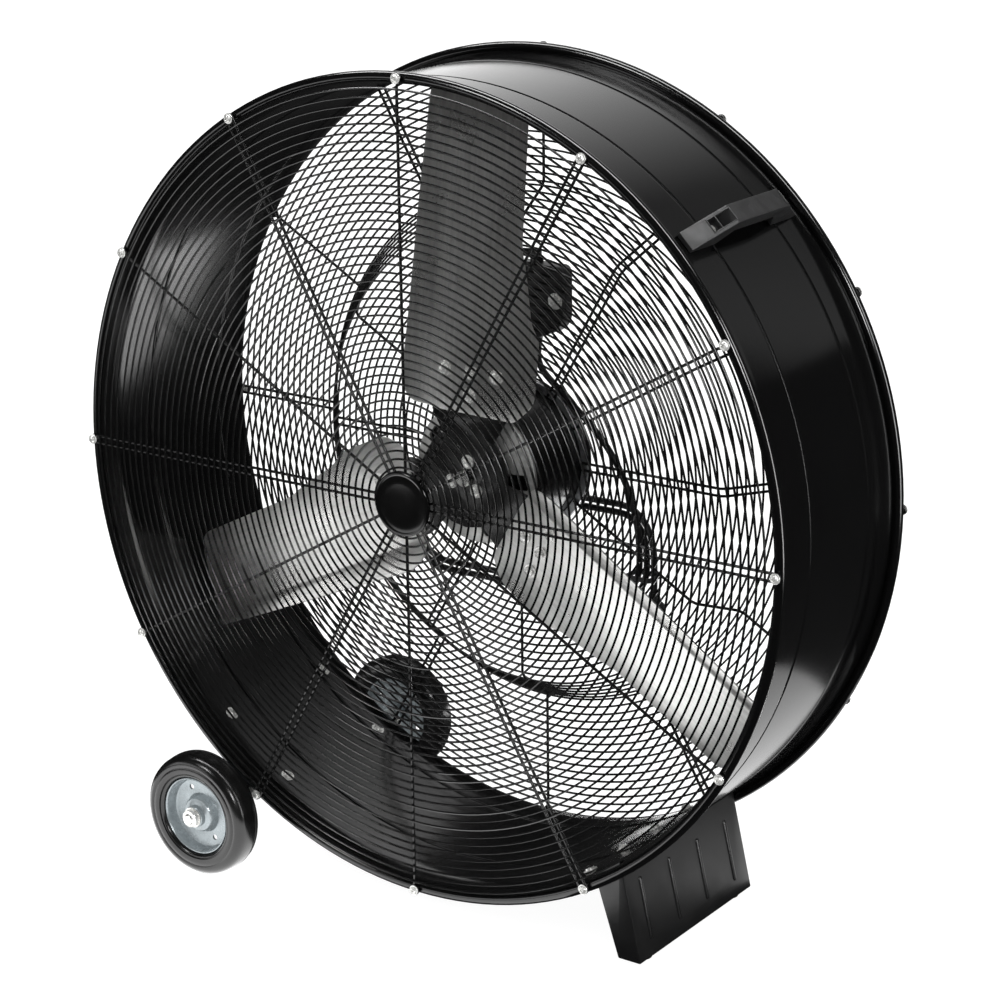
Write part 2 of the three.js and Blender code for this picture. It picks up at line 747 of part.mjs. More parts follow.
const glandX = boxX - glandInset;
const topGlandZ = boxZ + boxHeight / 2 + seatGap;
const lowGlandZ = boxZ - boxHeight / 2 - seatGap;

/** The lead's elbow gland: an upright on the box and a tapered arm towards -X. */
function elbowGland() {
  const upright = turned([
    [0, 0], [glandRadius, 0], [glandRadius, elbowRise / 3], [elbowRadius, elbowRise / 3],
    [elbowRadius, elbowRise], [0, elbowRise],
  ], 12).rotateX(Math.PI / 2);
  const arm = turned([
    [0, 0], [elbowRadius, 0], [elbowRadius, elbowRadius], [leadRadius + 1, elbowLength], [0, elbowLength],
  ], 12).rotateZ(Math.PI / 2).translate(0, 0, elbowRise - elbowRadius);
  return shaped(joined([upright, arm])).translate(glandX, boxMiddle, topGlandZ);
}

/** The mains cord's gland, hanging under the box: nut, body and dome. */
function cordGland() {
  return turned([
    [0, 0], [glandRadius, 0], [glandRadius, lowGlandLength * 0.45], [glandRadius - 1.5, lowGlandLength * 0.5],
    [glandRadius - 1.5, lowGlandLength * 0.85], [cordRadius + 1, lowGlandLength], [0, lowGlandLength],
  ], 12).rotateX(-Math.PI / 2).translate(glandX, boxMiddle, lowGlandZ);
}

/** A smooth curve through points, leaving and arriving straight. */
const through = (points) => new THREE.CatmullRomCurve3(points.map((p) => new THREE.Vector3(...p)), false, 'centripetal');

/** Points on an arc: its middle, radius, and first and last angle in degrees, as [along, up]. */
function arcPoints([along, up], radius, from, to, steps = 4) {
  return Array.from({ length: steps + 1 }, (_, i) => {
    const a = radians(from + ((to - from) * i) / steps);
    return [along + radius * Math.cos(a), up + radius * Math.sin(a)];
  });
}

/** The motor's lead: sideways out of the elbow, down beside the box and forwards into the terminal box. */
function motorLead() {
  const exit = glandX - elbowLength - seatGap;
  const level = topGlandZ + elbowRise - elbowRadius;
  const entry = terminalTop - leadDrop;
  const turnX = exit - leadStraight;
  const turnY = terminalTo + leadStraight;
  const first = arcPoints([turnX, level - leadBend], leadBend, 90, 180).map(([x, z]) => [x, boxMiddle, z]);
  const last = arcPoints([turnY, entry + leadBend], leadBend, 0, -90).map(([y, z]) => [leadX, y, z]);
  const [start, end] = [first.at(-1), last[0]].map((point) => new THREE.Vector3(...point));
  const down = [1 / 3, 2 / 3].map((share) => start.clone().lerp(end, share).toArray());
  const route = [[exit, boxMiddle, level], ...first, ...down, ...last, [leadX, terminalTo + seatGap, entry]];
  return tube(through(route), leadRadius, cordSides, 24);
}

const cordStart = lowGlandZ - lowGlandLength - seatGap;
const coilPlane = recessPlane + spokeWire / 2 + 2 * seatGap + plugRadius;
const coilStartX = coilX + coilHalfWidth - coilStep * coilLoops;

/** The mains cord: down out of the gland, slanting past the motor, and round into the coil. */
function mainsCord() {
  const low = cordStart - cordStraight;
  const end = coilZ + coilLead + seatGap;
  const entry = end + cordEntry;
  const [c, s] = [Math.cos(radians(cordLean)), Math.sin(radians(cordLean))];
  const fromAxis = (glandX + cordBend) * c + low * s - cordBend; // of the slanting stretch
  const sweep = (fromAxis - coilStartX * c - entry * s) / (1 - c); // radius of the bend into the coil
  const first = arcPoints([glandX + cordBend, low], cordBend, 180, 180 + cordLean);
  const last = arcPoints([coilStartX - sweep, entry], sweep, cordLean, 0, 6);
  const [from, to] = [first.at(-1), last[0]];
  const middle = [1 / 3, 2 / 3].map((share) => from.map((value, i) => value + share * (to[i] - value)));
  const points = [[glandX, cordStart], ...first, ...middle, ...last, [coilStartX, end]];
  const drift = (along) => THREE.MathUtils.mapLinear(along, glandX, coilStartX, boxMiddle, coilPlane);
  return tube(through(points.map(([along, up]) => [along, drift(along), up])), cordRadius, cordSides, 24);
}

/**
 * The coil's middle line, after so many turns from the right end, going down and growing outwards.
 * A turn is a quarter bend, the straight bottom, a half bend, the straight top and a quarter bend.
 */
function coilPoint(turns) {
  const { clamp } = THREE.MathUtils;
  const part = 6 * (turns % 1);
  const angle = radians(-90 * (Math.min(part, 1) + clamp(part - 2, 0, 2) + Math.max(part - 5, 0)));
  const along = 1 - 2 * clamp(part - 1, 0, 1) + 2 * clamp(part - 4, 0, 1);
  const radius = coilEnd - coilStep * (coilLoops - turns);
  return new THREE.Vector3(
    coilX + (coilHalfWidth - coilEnd) * along + radius * Math.cos(angle),
    coilPlane + coilRise * Math.max(Math.sin(angle), 0) ** 1.5,
    coilZ + radius * Math.sin(angle),
  );
}

/** The coil with its straight ends: down into the inner loop, and down from the outer one to the plug. */
class CoilCurve extends THREE.Curve {
  getPoint(share) {
    const steps = share * (loopSteps * coilLoops + 2) - 1;
    const turns = THREE.MathUtils.clamp(steps / loopSteps, 0, coilLoops);
    const point = coilPoint(turns);
    point.z += Math.max(-steps, 0) * coilLead;
    point.z -= Math.max(steps - loopSteps * coilLoops, 0) * coilTail;
    return point;
  }

  getPointAt(share) {
    return this.getPoint(share);
  }

  getTangentAt(share) {
    return this.getTangent(share);
  }
}

function mainsCoil() {
  return tube(new CoilCurve(), cordRadius, cordSides, loopSteps * coilLoops + 2);
}

/** The least space between neighbouring loops of the coil, measured on points of its middle line. */
function coilGap() {
  const count = 4 * loopSteps;
  const points = Array.from({ length: count * coilLoops + 1 }, (_, i) => coilPoint(i / count));
  let least = Infinity;
  points.forEach((p, i) => points.slice(i + count / 2).forEach((q) => {
    least = Math.min(least, p.distanceTo(q));
  }));
  return least - 2 * cordRadius;
}

/** The plug, its back up and its two pins down, at the end of the coil's tail. */
function plug() {
  const body = turned([
    [0, 0], [cordRadius + 2, 0], [plugRadius - 4, 12], [plugRadius, 16], [plugRadius, plugLength], [0, plugLength],
  ], 12);
  const pins = [-1, 1].map((side) => (
    barY(pinRadius, plugLength - weld, plugLength + pinLength, 8).translate(side * pinSpread, 0, 0)));
  return shaped(joined([body, ...pins]))
    .rotateX(-Math.PI / 2)
    .translate(coilX + coilHalfWidth, coilPlane, coilZ - coilTail - seatGap);
}

/** The strap that holds the coil's loops to a ring of the rear guard, at the coil's right end. */
function cordTie() {
  const room = cordRadius + seatGap;
  const below = coilPoint(1 / loopSteps);
  const share = (tieDrop + tieWidth / 2) / (coilZ - below.z);
  const left = THREE.MathUtils.lerp(coilStartX, below.x, share) - room;
  const right = coilX + coilHalfWidth + room;
  const front = recessRingFace - seatGap;
  const back = coilPlane + room;
  const width = right - left;
  const depth = back - front;
  const ring = pushed(roundedOutline(width + 2 * tieThickness, depth + 2 * tieThickness, 4), tieWidth);
  const bore = pushed(roundedOutline(width, depth, 2.5), tieWidth + 2).translate(0, 0, -1);
  return shaped(cut(solid(ring), [bore]))
    .translate((left + right) / 2, (front + back) / 2, coilZ - tieDrop - tieWidth / 2);
}

/** Places a piece made round the Y axis on the axle, mirrored for the rear wheel. */
function onAxle(geometry, side) {
  if (side > 0) {
    geometry.rotateX(Math.PI);
  }
  return geometry.translate(wheelX, side * wheelPlane, wheelDrop);
}

function tyre(side) {
  const half = tyreWidth / 2;
  return onAxle(turned([
    [steelRadius + seatGap, -half + 6], [steelRadius + 8, -half], [wheelRadius - tyreShoulder, -half],
    [wheelRadius, tyreShoulder - half], [wheelRadius, half - tyreShoulder],
    [wheelRadius - tyreShoulder, half], [steelRadius + 8, half], [steelRadius + seatGap, half - 6],
  ], wheelSides), side);
}

/** The pressed steel disc with its hub tube. */
function wheelDisc(side) {
  const lip = tyreWidth / 2 - 7;
  const disc = solid(turned([
    [steelRadius, -lip], [steelRadius, lip], [steelRadius - steelSheet, lip], [steelRadius - steelSheet, steelSheet],
    [hubTube, steelSheet], [hubTube, hubLength / 2], [axleRadius + runGap, hubLength / 2],
    [axleRadius + runGap, -hubLength / 2], [hubTube, -hubLength / 2], [hubTube, 0],
    [steelRadius - steelSheet, 0], [steelRadius - steelSheet, -lip],
  ], wheelSides));
  return onAxle(shaped(disc), side);
}

const hubEnd = wheelPlane + hubLength / 2;
const axleShoulder = wheelPlane - hubLength / 2 - seatGap;
const nutSeat = hubEnd + seatGap;
const axleTip = nutSeat + washerThickness + nutHeight + 2;

function axle() {
  const half = [[axleBody, axleShoulder], [axleRadius, axleShoulder], [axleRadius, nutSeat],
    [axleThread, nutSeat], [axleThread, axleTip]];
  const mirrored = half.map(([r, y]) => [r, -y]).reverse();
  return turned([[0, -axleTip], ...mirrored, ...half, [0, axleTip]], 12).translate(wheelX, 0, wheelDrop);
}

/** The nut and its washer on one end of the axle. */
function axleNut(side) {
  const face = seatGap + washerThickness;
  const bore = (axleThread + seatGap) / Math.cos(Math.PI / 6);
  const nut = turned([
    [bore, seatGap], [nutRadius + 2, seatGap], [nutRadius + 2, face],
    [nutRadius, face], [nutRadius, face + nutHeight], [bore, face + nutHeight],
  ], 6);
  if (side < 0) {
    nut.rotateX(Math.PI);
  }
  return nut.translate(wheelX, side * nutSeat, wheelDrop);
}

/** A strip that follows the outside of the drum, from one angle to another. */
function saddle(fromAngle, toAngle, thickness, fromY, toY) {
  const steps = Math.ceil((toAngle - fromAngle) / 5);
  const inside = (drumRadius + seatGap) / Math.cos(radians((toAngle - fromAngle) / steps / 2));
  const arc = (r) => Array.from({ length: steps + 1 }, (_, i) => {
    const a = radians(fromAngle + ((toAngle - fromAngle) * i) / steps);
    return [r * Math.cos(a), r * Math.sin(a)];
  });
  return pushedAlongY([...arc(inside), ...arc(inside + thickness).reverse()], fromY, toY);
}

/** The wheel carriage: a curved plate on the drum and two cheeks that hold the axle. */
function carriage() {
  const from = carriageAngle - carriageSpan / 2;
  const to = carriageAngle + carriageSpan / 2;
  const base = saddle(from, to, carriageSheet, -carriageLength / 2, carriageLength / 2);
  const cheekOutline = [
    onDrum(from + 2, 2), [wheelX - 20, wheelDrop + 6], [wheelX - 14, wheelDrop - 16],
    [wheelX + 14, wheelDrop - 16], [wheelX + 24, wheelDrop - 4], onDrum(to - 2, 2),
  ];
  const cheeks = [-1, 1].map((side) => {
    const y = side * cheekPlane;
    return pushedAlongY(cheekOutline, y - carriageSheet / 2, y + carriageSheet / 2);
  });
  const bore = barY(axleBody + seatGap, -carriageLength, carriageLength, 16).translate(wheelX, 0, wheelDrop);
  const holes = carriageBolts.map((place) => wallHole(place, 2 * wallBoltHead));
  return shaped(cut(joined([base, ...cheeks]), [drumSpace(), bore, ...holes]));
}

/** A bolt through the drum's wall, its head inside, that reaches so far out of the drum. */
function wallBoltAt([angle, y], reach) {
  const seat = drumInside * Math.cos(Math.PI / drumSides) - seatGap;
  const bolt = washerScrew(wallBolt, drumRadius + reach - seat, wallBoltHead, wallBoltHeight, 6);
  return swung(bolt.rotateZ(-Math.PI / 2).translate(seat, y, 0), angle);
}

const footBottom = footBottomHeight - axisHeight;
const footCorners = [
  [footBottomX - footBottomWidth / 2, footBottom], [footBottomX + footBottomWidth / 2, footBottom],
  onDrum(footTopAngles[1], -footTopSink), onDrum(footTopAngles[0], -footTopSink),
].map((corner) => new THREE.Vector2(...corner));

/** The foot: a tapered box of sheet, open towards the drum, with a bolting strip and pressed ribs. */
function foot() {
  const half = footLength / 2;
  const [a, b, c, d] = footCorners;
  const wall = (from, to, inwards) => {
    const shift = new THREE.Vector2(inwards * footSheet, 0);
    return [from.clone().lerp(to, 0.02).add(shift), from.clone().lerp(to, 1.4).add(shift)];
  };
  const [rightLow, rightHigh] = wall(b, c, -1);
  const [leftLow, leftHigh] = wall(a, d, 1);
  const hollow = [leftLow, rightLow, rightHigh, leftHigh].map((point) => point.toArray());
  const outside = solid(pushedAlongY(footCorners.map((point) => point.toArray()), -half, half));
  const box = cut(outside, [pushedAlongY(hollow, footSheet - half, half - footSheet)]);
  const stripHalf = half - footStripInset;
  const strip = saddle(footStripFrom, footStripTo, footSheet, -stripHalf, stripHalf);
  const lean = Math.atan2(b.x - c.x, c.y - b.y);
  const ribMiddle = b.clone().lerp(c, 0.42);
  const ribs = Array.from({ length: footRibs }, (_, i) => (
    new THREE.BoxGeometry(2 * footRibHeight, footRibWidth, footRibLength)
      .rotateY(-lean)
      .translate(ribMiddle.x, (i - (footRibs - 1) / 2) * (footLength / footRibs), ribMiddle.y)));
  const whole = [strip, ...ribs].map(solid).reduce((body, piece) => body.add(piece), box);
  return shaped(cut(whole, [drumSpace(), ...footBolts.map((place) => wallHole(place, 2 * wallBoltHead))]));
}

function footPad(side) {
  return new THREE.CylinderGeometry(padRadius, padRadius, footBottomHeight - seatGap, 12)
    .rotateX(Math.PI / 2)
    .translate(footBottomX, side * padPlane, (footBottomHeight - seatGap) / 2 - axisHeight);
}

/** The bridge handle, drawn along Y and outwards from the drum, then swung to its place. */
function handle() {
  const base = drumRadius + seatGap;
  const top = drumRadius + handleRise;
  const finger = top - gripThickness;
  const outline = [
    [base, handleFrom], [base + handleToe, handleFrom], [top, handleFrom + handleRamp],
    [top, handleTo - handleRamp], [base + handleToe, handleTo], [base, handleTo],
    [base, handleTo - handleFoot], [finger, handleTo - handleFoot - fingerSlope],
    [finger, handleFrom + handleFoot + fingerSlope], [base, handleFrom + handleFoot],
  ];
  const body = solid(pushed(outline, handleWidth).translate(0, 0, -handleWidth / 2));
  const floor = drumRadius + pocketFloor;
  const pockets = handleBolts.map(([, y]) => new THREE.BoxGeometry(2 * handleRise, pocketLength, pocketWidth)
    .translate(floor + handleRise, y, 0));
  const holes = handleBolts.map(([, y]) => barX(wallBolt + seatGap, drumInside, floor + 1, 6).translate(0, y, 0));
  const piece = cut(body, [...pockets, ...holes]);
  return shaped(cut(solid(swung(shaped(piece), handleAngle)), [drumSpace()]));
}

/** A handle screw: its head in the pocket, its shank through the drum's wall. */
function handleScrew([angle, y]) {
  const seat = drumRadius + pocketFloor + seatGap;
  const length = seat - drumInside + wallBolt;
  const screw = washerScrew(wallBolt, length, handleScrewHead, wallBoltHeight, 6);
  return swung(screw.rotateZ(Math.PI / 2).translate(seat, y, 0), angle);
}

const group = new THREE.Group();
const fan = new THREE.Group(); // everything, drawn from the middle of the drum
fan.position.z = axisHeight;
group.add(fan);

/** Adds one named piece. */
function add(name, geometry, material) {
  const mesh = new THREE.Mesh(closed(geometry), material);
  mesh.name = name;
  fan.add(mesh);
}

add('drum_shell', drumShell(), blackPaint());
add('front_guard', frontGuard(), blackWire());
add('rear_guard', rearGuard(), blackWire());
rimAngles.forEach((angle, k) => add(`front_screw_${k + 1}`, frontScrew(angle), zinc()));
add('hub_disc', hubDisc(), blackPlastic());
add('motor_body', motorBody(), satinBlack());
add('motor_bell', motorBell(), castGrey());
add('motor_plate', motorPlate(), galvanised());
add('terminal_box', terminalBox(), blackPlastic());
add('fan_shaft', shaft(), steel());
add('fan_spider', spider(), satinBlack());
for (let n = 0; n < bladeCount; n += 1) {
  add(`fan_blade_${n + 1}`, blade(n), bladeGrey());
}
hubBoltAngles.forEach((angle, n) => add(`hub_bolt_${n + 1}`, hubBolt(angle), zinc()));
add('switch_box', switchBox(), blackPlastic());
add('box_screw', boxScrew(), zinc());
add('switch_knob', knob(), blackPlastic());
add('lead_gland', elbowGland(), blackPlastic());
add('cord_gland', cordGland(), blackPlastic());
add('motor_lead', motorLead(), rubber());
add('mains_cord', mainsCord(), rubber());
add('mains_coil', mainsCoil(), rubber());
add('mains_plug', plug(), blackPlastic());
add('cord_tie', cordTie(), blackPlastic());
add('wheel_carriage', carriage(), blackPaint());
carriageBolts.forEach((place, n) => {
  add(`carriage_bolt_${n + 1}`, wallBoltAt(place, carriageSheet + wallBoltEnd), zinc());
});
add('wheel_axle', axle(), steel());
for (const [side, where] of [[-1, 'front'], [1, 'rear']]) {
  add(`${where}_axle_nut`, axleNut(side), zinc());
  add(`${where}_tyre`, tyre(side), rubber());
  add(`${where}_wheel_disc`, wheelDisc(side), zinc());
  add(`${where}_foot_pad`, footPad(side), rubber());
}
add('foot_bracket', foot(), satinBlack());
footBolts.forEach((place, n) => add(`foot_bolt_${n + 1}`, wallBoltAt(place, footSheet + wallBoltEnd), zinc()));
add('handle', handle(), blackPlastic());
handleBolts.forEach((place, n) => add(`handle_screw_${n + 1}`, handleScrew(place), zinc()));

console.log(`least gap between the coil's loops: ${coilGap().toFixed(2)} mm`);

export default group;
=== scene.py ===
"""The finished surfaces of a large drum fan, built round its CAD frame. Metres, +Z up, front towards -Y."""

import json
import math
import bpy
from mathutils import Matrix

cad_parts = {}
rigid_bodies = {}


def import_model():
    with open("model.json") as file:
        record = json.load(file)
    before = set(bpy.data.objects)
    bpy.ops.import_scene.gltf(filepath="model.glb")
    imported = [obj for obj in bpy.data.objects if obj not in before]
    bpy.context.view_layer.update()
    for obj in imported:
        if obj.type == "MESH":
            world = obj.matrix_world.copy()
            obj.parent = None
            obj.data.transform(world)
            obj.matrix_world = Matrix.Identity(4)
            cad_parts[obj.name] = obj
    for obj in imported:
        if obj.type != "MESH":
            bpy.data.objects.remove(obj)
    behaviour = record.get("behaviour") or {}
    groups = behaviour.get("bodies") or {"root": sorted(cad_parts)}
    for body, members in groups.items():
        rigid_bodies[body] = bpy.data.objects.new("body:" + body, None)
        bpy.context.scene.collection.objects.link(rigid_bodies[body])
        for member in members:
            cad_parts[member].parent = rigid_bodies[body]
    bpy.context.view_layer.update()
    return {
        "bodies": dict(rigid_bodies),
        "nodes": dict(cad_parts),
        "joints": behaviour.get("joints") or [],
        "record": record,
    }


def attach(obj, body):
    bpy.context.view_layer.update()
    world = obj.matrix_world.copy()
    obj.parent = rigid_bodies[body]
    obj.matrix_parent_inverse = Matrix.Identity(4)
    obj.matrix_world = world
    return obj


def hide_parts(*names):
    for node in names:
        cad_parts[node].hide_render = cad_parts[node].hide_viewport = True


bl_info = {
    "name": "Drum fan",
    "version": (1, 0, 0),
    "blender": (4, 5, 0),
    "location": "3D View > Sidebar > Drum Fan",
    "description": "Builds the finished pieces of a drum fan on wheels and the studio round it",
    "category": "Add Mesh",
}

import bpy
from bpy.props import FloatProperty, FloatVectorProperty, IntProperty, PointerProperty
from mathutils import Matrix, Vector

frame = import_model()

MM = 0.001
FRONT, REAR = -1, 1
SCREW_ANGLES = [90 + 30 * k for k in range(12)]  # round the drum's axis, from +X towards +Z
FRONT_PLANE = -0.1429  # middle of the front guard's spokes
REAR_PLANE = 0.1429  # middle of the rear guard's spokes at the rim
REAR_INNER_PLANE = 0.0879  # the same where the guard is pushed in
RECESS_OUTER, RECESS_INNER = 0.326, 0.287


# ---------------------------------------------------------------- sizes and colours


class FanSizes(bpy.types.PropertyGroup):
    """The sizes that a user would change."""

    axis_height: FloatProperty(
        name="Axis height", description="Height of the drum's axis over the floor", default=0.5145,
        unit="LENGTH",
    )
    drum_radius: FloatProperty(
        name="Drum radius", description="Outside of the drum's sheet", default=0.48, unit="LENGTH"
    )
    rim_radius: FloatProperty(
        name="Rim radius", description="From the axis to the middle of the rolled rim", default=0.49,
        unit="LENGTH",
    )
    rim_plane: FloatProperty(
        name="Rim plane", description="From the drum's middle to the middle of a rolled rim", default=0.134,
        unit="LENGTH",
    )
    bead_radius: FloatProperty(
        name="Bead radius", description="Radius of the rolled rim", default=0.0064, unit="LENGTH"
    )
    ring_pitch: FloatProperty(
        name="Ring pitch", description="Between neighbouring rings of a guard", default=0.0099, unit="LENGTH"
    )
    ring_wire: FloatProperty(
        name="Ring wire", description="Thickness of a guard's rings", default=0.0027, unit="LENGTH"
    )
    spoke_wire: FloatProperty(
        name="Spoke wire", description="Thickness of the spokes", default=0.0036, unit="LENGTH"
    )
    outer_ring: FloatProperty(
        name="Outer ring", description="Radius of the outermost ring", default=0.478, unit="LENGTH"
    )
    hub_radius: FloatProperty(
        name="Hub radius", description="Radius of the front guard's disc", default=0.039, unit="LENGTH"
    )
    wheel_radius: FloatProperty(
        name="Wheel radius", description="Outside of a tyre", default=0.0785, unit="LENGTH"
    )
    round_steps: IntProperty(
        name="Round steps", description="Faces round the drum", default=160, min=36, max=360
    )


class FanColours(bpy.types.PropertyGroup):
    """The colours of the finishes."""

    drum_paint: FloatVectorProperty(
        name="Drum paint", description="Gloss black of the drum", default=(0.0016, 0.0016, 0.0017), size=3,
        subtype="COLOR",
    )
    wire_paint: FloatVectorProperty(
        name="Wire paint", description="Black of the guards", default=(0.004, 0.004, 0.004), size=3,
        subtype="COLOR",
    )
    satin_paint: FloatVectorProperty(
        name="Satin paint", description="Black of the foot, motor and spider",
        default=(0.0035, 0.0035, 0.0037), size=3, subtype="COLOR",
    )
    zinc: FloatVectorProperty(
        name="Zinc", description="Bluish zinc of the wheels' discs", default=(0.30, 0.335, 0.35), size=3,
        subtype="COLOR",
    )
    bright_steel: FloatVectorProperty(
        name="Bright steel", description="Screws and nuts", default=(0.72, 0.72, 0.70), size=3,
        subtype="COLOR",
    )
    blade: FloatVectorProperty(
        name="Blade metal", description="Grey of the blades", default=(0.78, 0.775, 0.76), size=3,
        subtype="COLOR",
    )
    plastic: FloatVectorProperty(
        name="Plastic", description="Black of the moulded pieces", default=(0.012, 0.012, 0.0125), size=3,
        subtype="COLOR",
    )
    rubber: FloatVectorProperty(
        name="Rubber", description="Black of tyres and cords", default=(0.008, 0.008, 0.0085), size=3,
        subtype="COLOR",
    )


class StudioSettings(bpy.types.PropertyGroup):
    """The camera, the lights and the floor."""

    camera_place: FloatVectorProperty(
        name="Camera place", description="Where the camera stands", default=(1.8499, -2.55177, 1.46673),
        size=3,
        subtype="TRANSLATION", unit="LENGTH",
    )
    camera_azimuth: FloatProperty(
        name="Camera azimuth", description="Turn of the camera round the fan", default=math.radians(35.475),
        subtype="ANGLE",
    )
    camera_elevation: FloatProperty(
        name="Camera elevation", description="Height of the view over the horizon",
        default=math.radians(17.39),
        subtype="ANGLE",
    )
    camera_roll: FloatProperty(
        name="Camera roll", description="Turn of the camera about its view", default=-0.0124, subtype="ANGLE"
    )
    camera_lens: FloatProperty(
        name="Camera lens", description="Focal length on a 36 mm sensor", default=99.17,
        subtype="DISTANCE_CAMERA"
    )
    floor_size: FloatProperty(
        name="Floor size", description="Side of the square floor", default=90.0, unit="LENGTH"
    )
    surround: FloatProperty(
        name="Surround", description="Light that comes from all sides", default=1.4, min=0
    )
    room: FloatProperty(name="Room", description="The dark room that gloss reflects", default=0.03, min=0)


# ---------------------------------------------------------------- modelling


def deselect():
    """Leaves edit mode and drops the selection."""
    if bpy.context.object is not None and bpy.context.object.mode != "OBJECT":
        bpy.ops.object.mode_set(mode="OBJECT")
    bpy.ops.object.select_all(action="DESELECT")


def pick(*pieces):
    """Selects these pieces only. The first is the active one."""
    deselect()
    for piece in pieces:
        piece.select_set(True)
    bpy.context.view_layer.objects.active = pieces[0]


def open_mesh(name):
    """Adds an empty mesh object and opens it for editing."""
    deselect()
    bpy.ops.object.add(type="MESH", location=(0, 0, 0))
    piece = bpy.context.object
    piece.name = piece.data.name = name
    bpy.ops.object.mode_set(mode="EDIT")
    return piece


def close_mesh(piece):
    """Merges what meets, turns the faces outwards and leaves edit mode."""
    bpy.ops.mesh.select_all(action="SELECT")
    bpy.ops.mesh.remove_doubles(threshold=0.02 * MM)
    bpy.ops.mesh.normals_make_consistent(inside=False)
    bpy.ops.object.mode_set(mode="OBJECT")
    return piece


def draw(points):
    """Draws a line of points by extruding, and leaves it selected."""
    points = [Vector(p) for p in points]
    bpy.ops.mesh.primitive_plane_add(size=MM, location=points[0])
    bpy.ops.mesh.merge(type="CENTER")
    for a, b in zip(points, points[1:]):
        bpy.ops.mesh.extrude_region_move(TRANSFORM_OT_translate={"value": b - a})
    bpy.ops.mesh.select_linked()


def spun(outline, steps, centre=(0, 0, 0), sweep=360.0):
    """Turns an outline of (radius, y) round the Y axis through a centre, in the mesh being edited."""
    x, y, z = centre
    draw([(x + r, y + along, z) for r, along in outline])
    bpy.ops.mesh.spin(steps=steps, angle=math.radians(sweep), center=centre, axis=(0, 1, 0))


def lathe(name, outline, steps, centre=(0, 0, 0)):
    """A new piece turned from an outline of (radius, y)."""
    piece = open_mesh(name)
    spun(outline, steps, centre)
    return close_mesh(piece)


def slab(points, push):
    """Fills a closed flat outline and pushes it straight out, in the mesh being edited."""
    draw(points)
    bpy.ops.mesh.edge_face_add()
    bpy.ops.mesh.extrude_region_move(TRANSFORM_OT_translate={"value": Vector(push)})


def slab_piece(name, points, push):
    """A new piece pushed out of a flat outline."""
    piece = open_mesh(name)
    slab(points, push)
    return close_mesh(piece)


def block(name, size, centre, turn=(0, 0, 0)):
    """A new box, as a start or for carving."""
    deselect()
    bpy.ops.mesh.primitive_cube_add(size=1, location=centre, rotation=turn)
    piece = bpy.context.object
    piece.name = piece.data.name = name
    piece.scale = size
    bpy.ops.object.transform_apply(location=True, rotation=True, scale=True)
    return piece


def rod(name, radius, start, end, sides=24):
    """A new round bar from one point to another, as a start or for carving."""
    start, end = Vector(start), Vector(end)
    deselect()
    bpy.ops.mesh.primitive_cylinder_add(
        vertices=sides, radius=radius, depth=(end - start).length, location=(start + end) / 2,
        rotation=(end - start).to_track_quat("Z", "Y").to_euler(),
    )
    piece = bpy.context.object
    piece.name = piece.data.name = name
    bpy.ops.object.transform_apply(location=True, rotation=True, scale=True)
    return piece


def apply_modifier(piece, kind, **settings):
    """Adds a modifier with these settings and applies it."""
    pick(piece)
    bpy.ops.object.modifier_add(type=kind)
    modifier = piece.modifiers[-1]
    for name, value in settings.items():
        setattr(modifier, name, value)
    bpy.ops.object.modifier_apply(modifier=modifier.name)


def carve(piece, cutter, operation="DIFFERENCE"):
    """Cuts one piece with another, or joins it on, and removes the other."""
    apply_modifier(piece, "BOOLEAN", operation=operation, object=cutter, solver="EXACT")
    bpy.data.objects.remove(cutter)


def rounded(piece, width, segments=2, angle=32.0):
    """Rounds the sharp edges of a piece."""
    apply_modifier(
        piece, "BEVEL", width=width, segments=segments, limit_method="ANGLE", angle_limit=math.radians(angle),
        use_clamp_overlap=True, miter_outer="MITER_ARC",
    )


def turn_selected(degrees, axis, centre):
    """Turns what is selected in edit mode about a point. The operator's angle runs the other way round."""
    bpy.ops.transform.rotate(
        value=-math.radians(degrees), orient_axis=axis, orient_type="GLOBAL", center_override=centre
    )


def select_points(piece, test):
    """Selects the points of the mesh being edited whose place passes a test."""
    bpy.ops.mesh.select_all(action="DESELECT")
    bpy.ops.object.mode_set(mode="OBJECT")
    for vertex in piece.data.vertices:
        vertex.select = test(vertex.co)
    bpy.ops.object.mode_set(mode="EDIT")


def refined(node, name, width, segments=2, angle=25.0):
    """A copy of a CAD node with its flat faces joined up and its edges rounded."""
    source = frame["nodes"][node]
    piece = bpy.data.objects.new(name, source.data.copy())
    bpy.context.collection.objects.link(piece)
    pick(piece)
    bpy.ops.object.mode_set(mode="EDIT")
    bpy.ops.mesh.select_all(action="SELECT")
    bpy.ops.mesh.remove_doubles(threshold=0.01 * MM)
    bpy.ops.mesh.dissolve_limited(angle_limit=math.radians(1.0))
    bpy.ops.object.mode_set(mode="OBJECT")
    rounded(piece, width, segments, angle)
    return piece


def hex_prism(name, radius, low, high):
    """A hexagon nut or head along Y, its corners eased."""
    piece = rod(name, radius, (0, low, 0), (0, high, 0), sides=6)
    rounded(piece, 0.12 * radius, 2)
    return piece


def united(first, *others):
    """Joins pieces into the first one."""
    pick(first, *others)
    bpy.ops.object.join()
    return first


def placed(piece, matrix):
    """Moves a piece's mesh, with the object left at the origin."""
    pick(piece)
    piece.matrix_world = matrix
    bpy.ops.object.transform_apply(location=True, rotation=True, scale=True)
    return piece


def copied(piece, name, matrix):
    """A copy with its own mesh, moved by a matrix."""
    copy = piece.copy()
    copy.data = piece.data.copy()
    copy.name = copy.data.name = name
    bpy.context.collection.objects.link(copy)
    return placed(copy, matrix)


